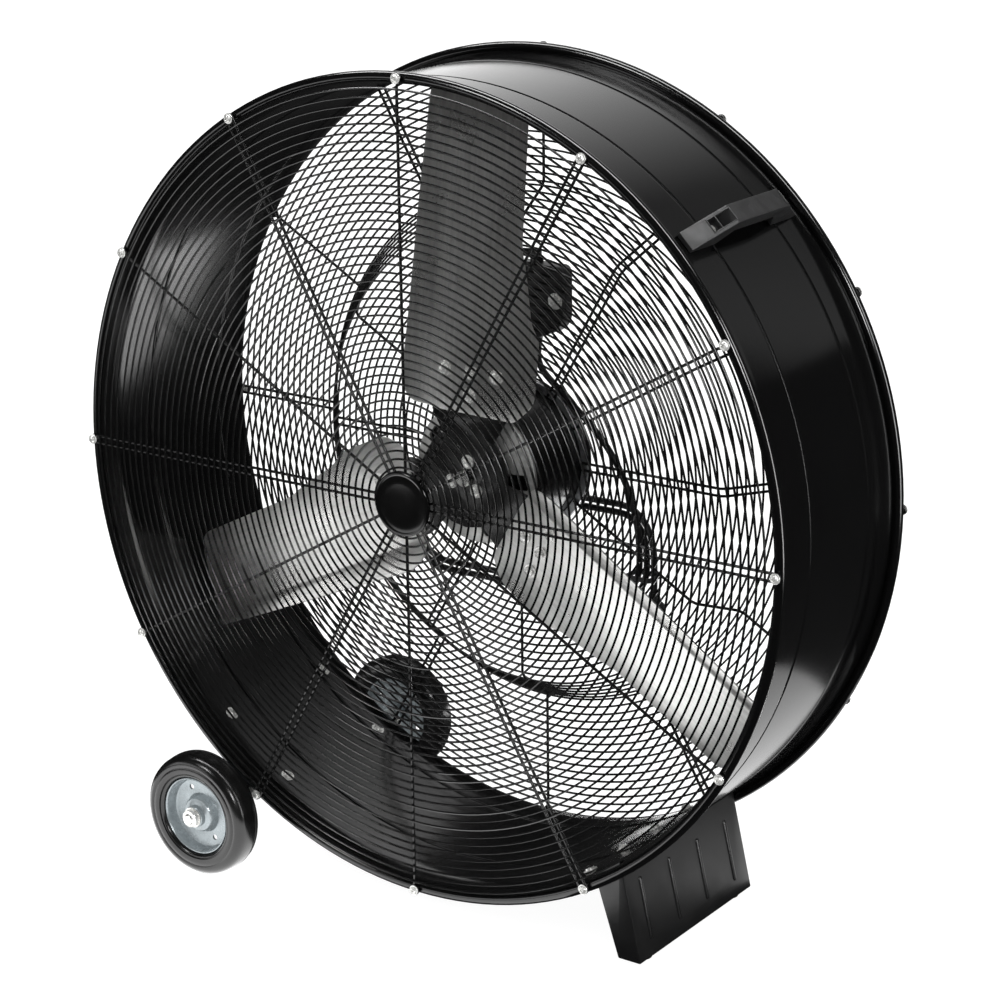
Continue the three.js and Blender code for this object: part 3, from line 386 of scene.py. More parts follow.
def wires(name, routes, thickness, closed=False):
    """A new mesh of round wires, each through its own points."""
    deselect()
    curve = bpy.data.curves.new(name, "CURVE")
    curve.dimensions = "3D"
    curve.bevel_depth = thickness / 2
    curve.bevel_resolution = 2
    curve.use_fill_caps = True
    for route in routes:
        spline = curve.splines.new("POLY")
        spline.points.add(len(route) - 1)
        for point, place in zip(spline.points, route):
            point.co = (*place, 1)
        spline.use_cyclic_u = closed
    piece = bpy.data.objects.new(name, curve)
    bpy.context.collection.objects.link(piece)
    pick(piece)
    bpy.ops.object.convert(target="MESH")
    return bpy.context.object


def dress(piece, material, body, slot, *nodes, smooth=40.0):
    """Shades and paints a finished piece, ties it to its body and hides the CAD nodes that it stands for."""
    pick(piece)
    if piece.type == "MESH":
        bpy.ops.object.shade_smooth_by_angle(angle=math.radians(smooth))
    piece.data.materials.clear()
    piece.data.materials.append(material)
    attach(piece, body)
    if nodes:
        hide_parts(*nodes)
    return piece


def paint_node(node, material):
    """Gives a CAD node that stays a finish."""
    piece = frame["nodes"][node]
    piece.data.materials.clear()
    piece.data.materials.append(material)


# ---------------------------------------------------------------- places


def sizes():
    return bpy.context.scene.fan_sizes


def round_axis(radius, y, degrees):
    """A point at a radius and an angle round the drum's axis."""
    a = math.radians(degrees)
    return Vector((radius * math.cos(a), y, sizes().axis_height + radius * math.sin(a)))


def to_angle(degrees, origin=(0, 0, 0)):
    """The move that takes a piece made along +X from the axis to an angle round the drum."""
    at_axis = Matrix.Translation((0, 0, sizes().axis_height))
    return at_axis @ Matrix.Rotation(-math.radians(degrees), 4, "Y") @ Matrix.Translation(origin)


def smooth_route(points, per_span=8):
    """A centripetal Catmull-Rom curve through points, as in the part's source."""
    points = [Vector(p) for p in points]
    ends = [2 * points[0] - points[1], *points, 2 * points[-1] - points[-2]]
    route = []
    for a, b, c, d in zip(ends, ends[1:], ends[2:], ends[3:]):
        t1 = (b - a).length ** 0.5
        t2 = t1 + (c - b).length ** 0.5
        t3 = t2 + (d - c).length ** 0.5
        for i in range(per_span):
            t = t1 + (t2 - t1) * i / per_span
            p = a.lerp(b, t / t1)
            q = b.lerp(c, (t - t1) / (t2 - t1))
            r = c.lerp(d, (t - t2) / (t3 - t2))
            route.append(p.lerp(q, t / t2).lerp(q.lerp(r, (t - t1) / (t3 - t1)), (t - t1) / (t2 - t1)))
    return [*route, points[-1]]


def box_outline(width, height, corner, low_corner, steps=7):
    """A rectangle with round corners, its middle at the origin and its lower corners rounder."""
    outline = []
    for sx, sy, start in ((1, 1, 0), (-1, 1, 90), (-1, -1, 180), (1, -1, 270)):
        radius = corner if sy > 0 else low_corner
        for i in range(steps + 1):
            a = math.radians(start + 90 * i / steps)
            outline.append((
                sx * (width / 2 - radius) + radius * math.cos(a),
                sy * (height / 2 - radius) + radius * math.sin(a),
            ))
    return outline


# ---------------------------------------------------------------- materials


NOISE_ROUGHNESS = 0.55
CAST_GREY = (0.55, 0.55, 0.54)
PLATE_GREY = (0.42, 0.43, 0.44)
HUB_BLACK = (0.0015, 0.0015, 0.0015)
TYRE_BLACK = (0.003, 0.003, 0.003)
PAPER = (0.2, 0.2, 0.2)


class Finish:
    """A procedural material: a Principled shader with its nodes, in the piece's own coordinates."""

    def __init__(self, name, colour, roughness, metallic=0.0, specular=0.5):
        self.name = name
        self.material = bpy.data.materials.new(name)
        self.material.use_nodes = True
        self.tree = self.material.node_tree
        self.shader = self.tree.nodes["Principled BSDF"]
        self.colour = (*colour, 1)
        self.shader.inputs["Base Color"].default_value = self.colour
        self.shader.inputs["Roughness"].default_value = roughness
        self.shader.inputs["Metallic"].default_value = metallic
        self.shader.inputs["Specular IOR Level"].default_value = specular
        self.coordinates = self.node("ShaderNodeTexCoord").outputs["Object"]
        self.normal = None

    def node(self, kind, **inputs):
        """Adds a node and sets or links its inputs by name."""
        node = self.tree.nodes.new(kind)
        for name, value in inputs.items():
            socket = node.inputs[name.replace("_", " ")]
            if isinstance(value, bpy.types.NodeSocket):
                self.tree.links.new(value, socket)
            else:
                socket.default_value = value
        return node

    def mapped(self, scale=(1, 1, 1), turn=(0, 0, 0)):
        """The piece's coordinates, turned and stretched."""
        mapping = self.node("ShaderNodeMapping", Vector=self.coordinates)
        mapping.vector_type = "TEXTURE"
        mapping.inputs["Rotation"].default_value = turn
        mapping.inputs["Scale"].default_value = scale
        return mapping.outputs["Vector"]

    def noise(self, scale, detail=3.0, stretch=(1, 1, 1), turn=(0, 0, 0)):
        """A noise from 0 to 1."""
        vector = self.mapped(stretch, turn)
        node = self.node("ShaderNodeTexNoise", Vector=vector, Scale=scale, Detail=detail)
        node.inputs["Roughness"].default_value = NOISE_ROUGHNESS
        return node.outputs["Fac"]

    def ramp(self, value, *stops):
        """Takes a value through (place, level) stops."""
        node = self.node("ShaderNodeValToRGB", Fac=value)
        band = node.color_ramp
        while len(band.elements) < len(stops):
            band.elements.new(0.5)
        for element, (place, level) in zip(band.elements, stops):
            element.position = place
            element.color = (level, level, level, 1) if isinstance(level, (int, float)) else (*level, 1)
        return node.outputs["Color"]

    def tint(self, value, low, high):
        """Colours the surface between two shares of its colour."""
        shades = [tuple(c * share for c in self.colour[:3]) for share in (low, high)]
        colour = self.ramp(value, (0.3, shades[0]), (0.7, shades[1]))
        self.tree.links.new(colour, self.shader.inputs["Base Color"])
        return self

    def gloss(self, value, low, high):
        """Lets the roughness run between two levels."""
        level = self.ramp(value, (0.3, low), (0.7, high))
        self.tree.links.new(level, self.shader.inputs["Roughness"])
        return self

    def bump(self, value, strength, height):
        """Adds a relief, on top of any there is."""
        node = self.node("ShaderNodeBump", Height=value, Strength=strength, Distance=height)
        if self.normal is not None:
            self.tree.links.new(self.normal, node.inputs["Normal"])
        self.normal = node.outputs["Normal"]
        self.tree.links.new(self.normal, self.shader.inputs["Normal"])
        return self


FINISHES = {}


def make_finishes(colours):
    """Makes every material once."""
    drum = Finish("drum_paint", colours.drum_paint, 0.15)
    drum.tint(drum.noise(9, 4), 0.8, 1.25).gloss(drum.noise(6, 2), 0.13, 0.17)
    drum.bump(drum.noise(90, 1), 0.02, 0.0002)

    wire = Finish("wire_paint", colours.wire_paint, 0.2)
    wire.tint(wire.noise(30, 3), 0.7, 1.4).gloss(wire.noise(60, 4), 0.15, 0.26)
    wire.bump(wire.noise(420, 3), 0.12, 0.0004)

    satin = Finish("satin_paint", colours.satin_paint, 0.34)
    satin.tint(satin.noise(22, 4), 0.8, 1.25).gloss(satin.noise(40, 4), 0.30, 0.38)
    satin.bump(satin.noise(900, 3), 0.16, 0.0003)

    motor = Finish("motor_paint", colours.wire_paint, 0.24)
    motor.tint(motor.noise(18, 3), 0.8, 1.3).gloss(motor.noise(30, 3), 0.2, 0.3)
    motor.bump(motor.noise(500, 2), 0.05, 0.0002)

    zinc = Finish("zinc", colours.zinc, 0.24, 0.4)
    zinc.tint(zinc.noise(55, 5), 0.82, 1.12).gloss(zinc.noise(120, 5), 0.17, 0.34)
    zinc.bump(zinc.noise(500, 4), 0.1, 0.0003)

    bright = Finish("bright_steel", colours.bright_steel, 0.22, 0.5)
    bright.tint(bright.noise(150, 4), 0.7, 1.15).gloss(bright.noise(300, 4), 0.14, 0.34)
    bright.bump(bright.noise(900, 3), 0.15, 0.0002)

    shaft = Finish("shaft_steel", colours.bright_steel, 0.28, 1.0)
    shaft.tint(shaft.noise(80, 4, stretch=(1, 0.02, 1)), 0.75, 1.05).gloss(shaft.noise(90, 4), 0.2, 0.36)
    shaft.bump(shaft.noise(600, 2, stretch=(1, 0.04, 1)), 0.2, 0.0002)

    for n, angle in enumerate(BLADE_ANGLES):
        blade = Finish(f"blade_metal_{n + 1}", colours.blade, 0.38, 0.96)
        turn = (0, -math.radians(angle), 0)
        along = (30, 1, 1)
        blade.tint(blade.noise(260, 3, stretch=along, turn=turn), 0.88, 1.1)
        blade.gloss(blade.noise(12, 4), 0.25, 0.34)
        blade.bump(blade.noise(700, 2, stretch=along, turn=turn), 0.12, 0.0002)
        FINISHES[f"blade_metal_{n + 1}"] = blade.material

    cast = Finish("cast_metal", CAST_GREY, 0.42, 0.75)
    cast.tint(cast.noise(90, 5), 0.7, 1.15).gloss(cast.noise(70, 4), 0.42, 0.62)
    cast.bump(cast.noise(1100, 3), 0.4, 0.0005)

    plate = Finish("plate_metal", PLATE_GREY, 0.4, 0.9)
    spangle = plate.node("ShaderNodeTexVoronoi", Vector=plate.mapped(), Scale=90.0).outputs["Color"]
    plate.tint(spangle, 0.82, 1.08).gloss(plate.noise(60, 4), 0.32, 0.5)
    plate.bump(plate.noise(700, 2), 0.1, 0.0002)

    plastic = Finish("black_plastic", colours.plastic, 0.48)
    plastic.tint(plastic.noise(35, 4), 0.85, 1.3).gloss(plastic.noise(80, 4), 0.42, 0.56)
    plastic.bump(plastic.noise(1500, 4), 0.35, 0.0003)

    hub = Finish("hub_plastic", HUB_BLACK, 0.14)
    hub.tint(hub.noise(60, 3), 0.8, 1.4).gloss(hub.noise(40, 4), 0.12, 0.16)
    hub.bump(hub.noise(1200, 3), 0.05, 0.0002)

    tyre = Finish("tyre_rubber", TYRE_BLACK, 0.22)
    tyre.tint(tyre.noise(40, 5), 0.8, 1.6).gloss(tyre.noise(60, 5), 0.17, 0.27)
    tyre.bump(tyre.noise(700, 4), 0.12, 0.0003)

    cord = Finish("cord_rubber", colours.rubber, 0.45)
    cord.tint(cord.noise(60, 3), 0.8, 1.4).gloss(cord.noise(120, 3), 0.4, 0.55)
    cord.bump(cord.noise(1400, 3), 0.2, 0.0002)

    for finish in (drum, wire, satin, motor, zinc, bright, shaft, cast, plate, plastic, hub, tyre, cord):
        FINISHES[finish.name] = finish.material


# ---------------------------------------------------------------- stage and cords


def even(brightness):
    """The stops of a card that is equally bright all over."""
    return (0.0, brightness), (1.0, brightness)


class FAN_OT_stage(bpy.types.Operator):
    """Sets up the camera, the soft lights, the surround and the pale floor"""

    bl_idname = "fan.stage"
    bl_label = "Studio"

    def execute(self, context):
        studio = context.scene.fan_studio
        make_finishes(context.scene.fan_colours)
        deselect()
        back = Vector((
            math.sin(studio.camera_azimuth) * math.cos(studio.camera_elevation),
            -math.cos(studio.camera_azimuth) * math.cos(studio.camera_elevation),
            math.sin(studio.camera_elevation),
        ))
        aim = back.to_track_quat("Z", "Y").to_matrix() @ Matrix.Rotation(studio.camera_roll, 3, "Z")
        bpy.ops.object.camera_add(location=studio.camera_place, rotation=aim.to_euler())
        camera = context.object
        camera.data.lens = studio.camera_lens
        camera.data.sensor_width = 36
        context.scene.camera = camera
        self.lights()
        self.surround(context, studio)
        self.floor(studio)
        context.scene.view_settings.view_transform = "Standard"
        return {"FINISHED"}

    def lights(self):
        """Soft white cards that only gloss shows. Each has stops of (share of its width, brightness)."""
        for name, place, facing, width, height, stops in (
            ("front_card", (-0.315, -0.435, 0.002), (0, 0, 1), 1.03, 0.57, even(2.5)),
            ("left_card", (-1.46, -1.42, 0.40), (0.62, 0.78, 0), 1.20, 0.56, even(2.2)),
            ("corner_card", (0.38, 0.33, 0.002), (0, 0, 1), 0.55, 0.36,
             ((0.0, 0.95), (0.5, 1.2), (1.0, 1.1))),
            ("rear_card", (0.05, 0.68, 0.002), (0, 0, 1), 0.60, 0.32, even(4.5)),
            ("top_card", (-0.10, 1.25, 1.62), (0, -1, 0), 2.6, 1.3,
             ((0.0, 1.9), (0.33, 1.3), (0.70, 0.15), (0.85, 0.22), (1.0, 0.35))),
            ("key_card", (-1.4, -3.0, 3.0), (0.36, 0.76, -0.54), 0.8, 0.8, even(22.0)),
            ("side_card", (2.4, -2.2, 1.9), (-0.7, 0.62, -0.35), 0.7, 0.7, even(26.0)),
            ("overhead_card", (0.0, 0.05, 2.3), (0, 0, -1), 3.2, 0.4, even(14.0)),
            ("right_card", (2.0, 0.1, 1.0), (-1, 0, 0), 0.5, 2.0, even(10.0)),
        ):
            self.card(name, place, facing, width, height, stops)

    def card(self, name, place, facing, width, height, stops):
        """A glowing card, its brightness given by stops along its width."""
        deselect()
        turn = Vector(facing).to_track_quat("Z", "Y").to_euler()
        bpy.ops.mesh.primitive_plane_add(size=1, location=place, rotation=turn)
        card = bpy.context.object
        card.name = name
        card.scale = (width, height, 1)
        material = bpy.data.materials.new(name)
        material.use_nodes = True
        tree = material.node_tree
        tree.nodes.clear()
        output = tree.nodes.new("ShaderNodeOutputMaterial")
        glow = tree.nodes.new("ShaderNodeEmission")
        across = tree.nodes.new("ShaderNodeSeparateXYZ")
        ramp = tree.nodes.new("ShaderNodeValToRGB")
        while len(ramp.color_ramp.elements) < len(stops):
            ramp.color_ramp.elements.new(0.5)
        for element, (along, level) in zip(ramp.color_ramp.elements, stops):
            element.position = along
            element.color = (level, level, level, 1)
        tree.links.new(tree.nodes.new("ShaderNodeUVMap").outputs["UV"], across.inputs["Vector"])
        tree.links.new(across.outputs["X"], ramp.inputs["Fac"])
        tree.links.new(ramp.outputs["Color"], glow.inputs["Color"])
        tree.links.new(glow.outputs["Emission"], output.inputs["Surface"])
        card.data.materials.append(material)
        card.visible_camera = card.visible_diffuse = card.visible_shadow = False

    def surround(self, context, studio):
        """Even light from all sides, with a dark room in the reflections of gloss."""
        world = bpy.data.worlds.new("studio")
        context.scene.world = world
        world.use_nodes = True
        tree = world.node_tree
        tree.nodes.clear()
        output = tree.nodes.new("ShaderNodeOutputWorld")
        mix = tree.nodes.new("ShaderNodeMixShader")
        light_path = tree.nodes.new("ShaderNodeLightPath")
        for socket, strength in ((1, studio.surround), (2, studio.room)):
            background = tree.nodes.new("ShaderNodeBackground")
            background.inputs["Color"].default_value = (1, 1, 1, 1)
            background.inputs["Strength"].default_value = strength
            tree.links.new(background.outputs["Background"], mix.inputs[socket])
        tree.links.new(light_path.outputs["Is Glossy Ray"], mix.inputs["Fac"])
        tree.links.new(mix.outputs["Shader"], output.inputs["Surface"])

    def floor(self, studio):
        """A plain pale floor, out to the horizon of the view."""
        bpy.ops.mesh.primitive_plane_add(size=studio.floor_size, location=(0, 0, 0))
        floor = bpy.context.object
        floor.name = "floor"
        paper = Finish("floor_paper", PAPER, 0.9, specular=0.1)
        paper.tint(paper.noise(0.7, 2), 0.995, 1.005)
        paper.shader.inputs["Emission Color"].default_value = (1, 1, 1, 1)
        paper.shader.inputs["Emission Strength"].default_value = 0.95
        floor.data.materials.append(paper.material)
        floor.visible_glossy = False


GLAND = Vector((0.018, 0.1008))  # x and y of both cable glands
ELBOW_EXIT = Vector((-0.0063, 0.1008, 0.2503))  # from the drum's axis, as the places below
CORD_EXIT = 0.1394
LEAD_BEND, CORD_BEND = 0.031, 0.036
CORD_LEAN = 50.0  # of the mains cord from upright after its first bend
COIL_MIDDLE = Vector((-0.002, 0.1031, -0.116))
COIL_HALF_WIDTH, COIL_END = 0.186, 0.065  # the end's radius
COIL_STEP, COIL_LOOPS, COIL_RISE = 0.0105, 2, 0.024
COIL_LEAD, COIL_TAIL = 0.008, 0.030


def limited(value, low, high):
    return max(low, min(value, high))


def coil_point(turns):
    """The coil's middle line after so many turns, as in the part's source."""
    part = 6 * (turns % 1)
    angle = math.radians(-90 * (min(part, 1) + limited(part - 2, 0, 2) + max(part - 5, 0)))
    along = 1 - 2 * limited(part - 1, 0, 1) + 2 * limited(part - 4, 0, 1)
    radius = COIL_END - COIL_STEP * (COIL_LOOPS - turns)
    return COIL_MIDDLE + Vector((
        (COIL_HALF_WIDTH - COIL_END) * along + radius * math.cos(angle),
        COIL_RISE * max(math.sin(angle), 0) ** 1.5,
        radius * math.sin(angle),
    ))


def bend(middle, radius, start, end, steps=4):
    """Points (along, up) on an arc, angles in degrees."""
    angles = [math.radians(start + (end - start) * i / steps) for i in range(steps + 1)]
    return [(middle[0] + radius * math.cos(a), middle[1] + radius * math.sin(a)) for a in angles]


def lead_route():
    """The motor's lead from the elbow gland to the terminal box, from the drum's axis."""
    x, y, z = ELBOW_EXIT
    turn_x, end = x - 0.008, Vector((-0.022, 0.0763, 0.104))
    first = [Vector((along, y, up)) for along, up in bend((turn_x, z - LEAD_BEND), LEAD_BEND, 90, 180)]
    last = [Vector((end.x, along, up)) for along, up in bend((0.080, end.z + LEAD_BEND), LEAD_BEND, 0, -90)]
    down = [first[-1].lerp(last[0], share) for share in (1 / 3, 2 / 3)]
    return smooth_route([ELBOW_EXIT, *first, *down, *last, end])


def cord_route():
    """The mains cord from its gland into the coil, from the drum's axis."""
    start_x = COIL_MIDDLE.x + COIL_HALF_WIDTH - COIL_STEP * COIL_LOOPS
    end = COIL_MIDDLE.z + COIL_LEAD
    low, entry = CORD_EXIT - 0.010, end + 0.0033
    c, s = math.cos(math.radians(CORD_LEAN)), math.sin(math.radians(CORD_LEAN))
    sweep = ((GLAND.x + CORD_BEND) * c + low * s - CORD_BEND - start_x * c - entry * s) / (1 - c)
    first = bend((GLAND.x + CORD_BEND, low), CORD_BEND, 180, 180 + CORD_LEAN)
    last = bend((start_x - sweep, entry), sweep, CORD_LEAN, 0, 6)
    (x1, z1), (x2, z2) = first[-1], last[0]
    middle = [(x1 + share * (x2 - x1), z1 + share * (z2 - z1)) for share in (1 / 3, 2 / 3)]
    points = []
    for along, up in [(GLAND.x, CORD_EXIT), *first, *middle, *last, (start_x, end)]:
        share = (along - GLAND.x) / (start_x - GLAND.x)
        points.append((along, GLAND.y + share * (COIL_MIDDLE.y - GLAND.y), up))
    return smooth_route(points)


def cord_curve(name, route, diameter, material):
    """A round cord as a curve of one open line."""
    deselect()
    curve = bpy.data.curves.new(name, "CURVE")
    curve.dimensions = "3D"
    curve.bevel_depth = diameter / 2
    curve.bevel_resolution = 4
    curve.use_fill_caps = True
    spline = curve.splines.new("POLY")
    spline.points.add(len(route) - 1)
    for point, place in zip(spline.points, route):
        point.co = (*place, 1)
    piece = bpy.data.objects.new(name, curve)
    bpy.context.collection.objects.link(piece)
    curve.materials.append(material)
    return piece


class FAN_OT_cords(bpy.types.Operator):
    """Lays the motor's lead and the mains cord with its coil, tie and plug"""

    bl_idname = "fan.cords"
    bl_label = "Cords"

    def execute(self, context):
        rubber = FINISHES["cord_rubber"]
        lift = Vector((0, 0, sizes().axis_height))
        lead = [p + lift for p in lead_route()]
        piece = cord_curve("motor_lead_cable", lead, 0.007, rubber)
        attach(piece, "frame")
        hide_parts("motor_lead")

        cord = cord_route()
        steps = 48
        cord += [coil_point(i / steps) for i in range(steps * COIL_LOOPS + 1)]
        end = cord[-1]
        cord += [end - Vector((0, 0, COIL_TAIL * share)) for share in (0.5, 1.0)]
        cord = [p + lift for p in cord]
        piece = cord_curve("mains_cable", cord, 0.008, rubber)
        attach(piece, "frame")
        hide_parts("mains_cord", "mains_coil")
        paint_node("mains_plug", FINISHES["black_plastic"])
        paint_node("cord_tie", FINISHES["black_plastic"])
        return {"FINISHED"}


# ---------------------------------------------------------------- drum and guards


class FAN_OT_drum(bpy.types.Operator):
    """Turns the drum's sheet with its grooves, flared edges and rolled rims"""

    bl_idname = "fan.drum"
    bl_label = "Drum"

    groove_places = (-0.050, 0.082)
    groove_depth = 0.0011
    groove_width = 0.0050
    groove_section = ((-0.7, 0), (-0.5, 0), (-0.2, 0.75), (0, 1), (0.2, 0.75), (0.5, 0), (0.7, 0))
    sheet = 0.002

    def half_rim(self, size, side):
        """The outline from the sheet out over the flare and round the bead, and back inside."""
        flare = [
            (-0.06, 0.0), (0.0, 0.0), (0.18, 0.02), (0.35, 0.10), (0.50, 0.24), (0.65, 0.42), (0.9, 0.85),
            (1.0, 1.0),
        ]  # (share of the reach, share of the rise)
        start, reach = 0.1015, 0.0235
        rise = size.rim_radius - size.bead_radius - size.drum_radius
        outer = [(size.drum_radius + rise * up, side * (start + reach * along)) for along, up in flare]
        bead = []
        for i in range(17):
            a = math.radians(-130 + 300 * i / 16)
            bead.append((
                size.rim_radius + size.bead_radius * math.cos(a),
                side * (size.rim_plane + size.bead_radius * math.sin(a)),
            ))
        inner = [(r - self.sheet, y) for r, y in reversed(outer)]
        return outer[:-1] + bead + inner

    def grooves(self, radius, reverse):
        """The wall's straight part with its shallow grooves, from front to rear."""
        points = []
        for y in self.groove_places:
            for along, depth in self.groove_section:
                points.append((radius - depth * self.groove_depth, y + along * self.groove_width))
        return points[::-1] if reverse else points

    def execute(self, context):
        size = sizes()
        outer = self.grooves(size.drum_radius, False)
        inner = self.grooves(size.drum_radius - self.sheet, True)
        front, rear = self.half_rim(size, FRONT), self.half_rim(size, REAR)
        outline = outer + rear + inner + front[::-1]
        outline.append(outline[0])
        piece = lathe("drum_wall", outline, size.round_steps, (0, 0, size.axis_height))
        dress(piece, FINISHES["drum_paint"], "frame", "drum_paint", "drum_shell", smooth=50)
        return {"FINISHED"}


def guard_rings(name, places, wire, steps):
    """All rings of a guard, spun at once from their small sections at (radius, y)."""
    piece = open_mesh(name)
    height = sizes().axis_height
    for radius, y in places:
        bpy.ops.mesh.primitive_circle_add(
            vertices=6, radius=wire / 2, location=(radius, y, height), rotation=(0, 0, 0)
        )
    bpy.ops.mesh.select_all(action="SELECT")
    bpy.ops.mesh.spin(steps=steps, angle=2 * math.pi, center=(0, 0, height), axis=(0, 1, 0))
    return close_mesh(piece)


def spoke_routes(path, rim):
    """The spokes' wires along a path of (radius, y) from the inside out: single ones and hairpins in turn."""
    spread, eye = 0.0045, 0.0046
    side, outer_y = path[:-1], path[-1][1]
    routes = []
    for k, angle in enumerate(SCREW_ANGLES):
        if k % 2 == 0:
            line = [(r, y, 0.0) for r, y in side] + [(rim - 2.2 * eye, outer_y, 0.0)]
            line += [(x, outer_y, z) for x, z in bend((rim, 0), eye, 205, 515, 14)]
        else:
            line = [(r, y, -spread) for r, y in side]
            line += [(x, outer_y, z) for x, z in bend((rim, 0), spread, -90, 90, 8)]
            line += [(r, y, spread) for r, y in reversed(side)]
        turn = to_angle(angle)
        routes.append([turn @ Vector(p) for p in line])
    return routes


class FAN_OT_front_guard(bpy.types.Operator):
    """Builds the front guard of fine rings on spokes, and the bare disc on its middle"""

    bl_idname = "fan.front_guard"
    bl_label = "Front guard"

    ring_count = 45

    def execute(self, context):
        size = sizes()
        plane = FRONT_PLANE - (size.spoke_wire + size.ring_wire) / 2 + 0.4 * MM
        rings = [(size.outer_ring - size.ring_pitch * i, plane) for i in range(self.ring_count)]
        piece = guard_rings("front_guard_wires", rings, size.ring_wire, 144)
        path = [(0.0294, FRONT_PLANE), (size.rim_radius, FRONT_PLANE)]
        piece = united(piece, wires("front_spokes", spoke_routes(path, size.rim_radius), size.spoke_wire))
        dress(piece, FINISHES["wire_paint"], "frame", "wire_paint", "front_guard", smooth=60)

        r, back = size.hub_radius, -0.1469
        outline = [
            (0, back), (r - 1.0 * MM, back), (r, back - 0.8 * MM), (r, back - 3.2 * MM),
            (r - 0.6 * MM, back - 4.6 * MM), (r - 2.0 * MM, back - 5.5 * MM),
            (r - 3.4 * MM, back - 5.6 * MM), (r - 4.4 * MM, back - 5.0 * MM),
            (r - 5.4 * MM, back - 4.7 * MM), (r * 0.6, back - 5.3 * MM), (r * 0.3, back - 5.7 * MM),
            (0, back - 5.9 * MM),
        ]
        disc = lathe("hub_cap", outline, 72, (0, 0, size.axis_height))
        dress(disc, FINISHES["hub_plastic"], "frame", "hub_plastic", "hub_disc", smooth=60)
        return {"FINISHED"}


def pan_screw(name):
    """A washer-head screw along +Y, its washer's seat on y = 0 and its cross recess facing -Y."""
    outline = [
        (0, 0.0092), (0.0026, 0.0092), (0.0026, 0), (0.0061, 0), (0.0063, -0.0005), (0.0061, -0.0011),
        (0.0049, -0.0013), (0.0047, -0.0024), (0.0040, -0.0035), (0.0026, -0.0041), (0, -0.0043),
    ]
    piece = lathe(name, outline, 24)
    for turn in (0, math.pi / 2):
        carve(piece, block("recess", (0.0048, 0.003, 0.0011), (0, -0.0038, 0), (0, turn, 0)))
    return piece


class FAN_OT_rim_screws(bpy.types.Operator):
    """Sets the screws of both guards round the rims"""

    bl_idname = "fan.rim_screws"
    bl_label = "Rim screws"

    def execute(self, context):
        size = sizes()
        pattern = pan_screw("rim_screw")
        seat = FRONT_PLANE - size.spoke_wire / 2 - 0.1 * MM
        rear_seat = REAR_PLANE + size.spoke_wire / 2 + 0.1 * MM
        rear = []
        for k, angle in enumerate(SCREW_ANGLES):
            place = to_angle(angle, (size.rim_radius, seat, 0))
            screw = copied(pattern, f"front_rim_screw_{k + 1}", place)
            dress(screw, FINISHES["bright_steel"], "frame", "zinc", f"front_screw_{k + 1}", smooth=35)
            place = to_angle(angle, (size.rim_radius, rear_seat, 0)) @ Matrix.Rotation(math.pi, 4, "X")
            rear.append(copied(pattern, f"rear_rim_screw_{k + 1}", place))
        bpy.data.objects.remove(pattern)
        for screw in rear:
            dress(screw, FINISHES["bright_steel"], "frame", "zinc", smooth=35)
        return {"FINISHED"}


class FAN_OT_rear_guard(bpy.types.Operator):
    """Builds the rear guard, its middle pushed in over a cone"""

    bl_idname = "fan.rear_guard"
    bl_label = "Rear guard"

    def execute(self, context):
        size = sizes()
        in_front = (size.spoke_wire + size.ring_wire) / 2 - 0.4 * MM
        outer = [(size.outer_ring - size.ring_pitch * i, REAR_PLANE - in_front) for i in range(16)]
        inner = [(RECESS_INNER - 0.005 - size.ring_pitch * i, REAR_INNER_PLANE - in_front) for i in range(19)]
        cone = []
        run, drop = RECESS_OUTER - RECESS_INNER, REAR_PLANE - REAR_INNER_PLANE
        slant = math.hypot(run, drop)
        for i in range(6):
            share = (i + 0.5) / 6
            cone.append((
                RECESS_INNER + run * share + in_front * drop / slant,
                REAR_INNER_PLANE + drop * share - in_front * run / slant,
            ))
        piece = guard_rings("rear_guard_wires", outer + cone + inner, size.ring_wire, 144)
        path = [
            (0.090, REAR_INNER_PLANE), (RECESS_INNER - 0.004, REAR_INNER_PLANE),
            (RECESS_INNER + 0.003, REAR_INNER_PLANE + 0.004), (RECESS_OUTER - 0.003, REAR_PLANE - 0.004),
            (RECESS_OUTER + 0.004, REAR_PLANE), (size.rim_radius, REAR_PLANE),
        ]
        piece = united(piece, wires("rear_spokes", spoke_routes(path, size.rim_radius), size.spoke_wire))
        dress(piece, FINISHES["wire_paint"], "frame", "wire_paint", "rear_guard", smooth=60)
        return {"FINISHED"}


# ---------------------------------------------------------------- rotor

BLADE_ANGLES = (85.5, 205.5, 325.5)
BLADE_BOLTS = ((0.103, 0.0), (0.131, -0.0335), (0.131, 0.0), (0.131, 0.0335))
BLADE_CORNERS = (  # outwards, across, corner radius
    (0.080, -0.060, 0.006), (0.106, -0.084, 0.014), (0.184, -0.084, 0.012), (0.200, -0.073, 0.010),
    (0.265, -0.061, 0.020), (0.286, -0.0545, 0.012), (0.455, -0.051, 0.012), (0.464, -0.032, 0.010),
    (0.464, 0.071, 0.012), (0.325, 0.078, 0.020), (0.205, 0.082, 0.020), (0.107, 0.087, 0.012),
    (0.085, 0.074, 0.010), (0.080, 0.035, 0.006),
)
BLADE_BEND = 0.052  # from the blade's middle line to the bent strip
BLADE_PIVOT, BLADE_PLANE = 0.131, -0.0265  # the middle bolt's radius, and y of the flat blade
BLADE_PITCH, BLADE_LEAN = 10.0, 1.3  # degrees


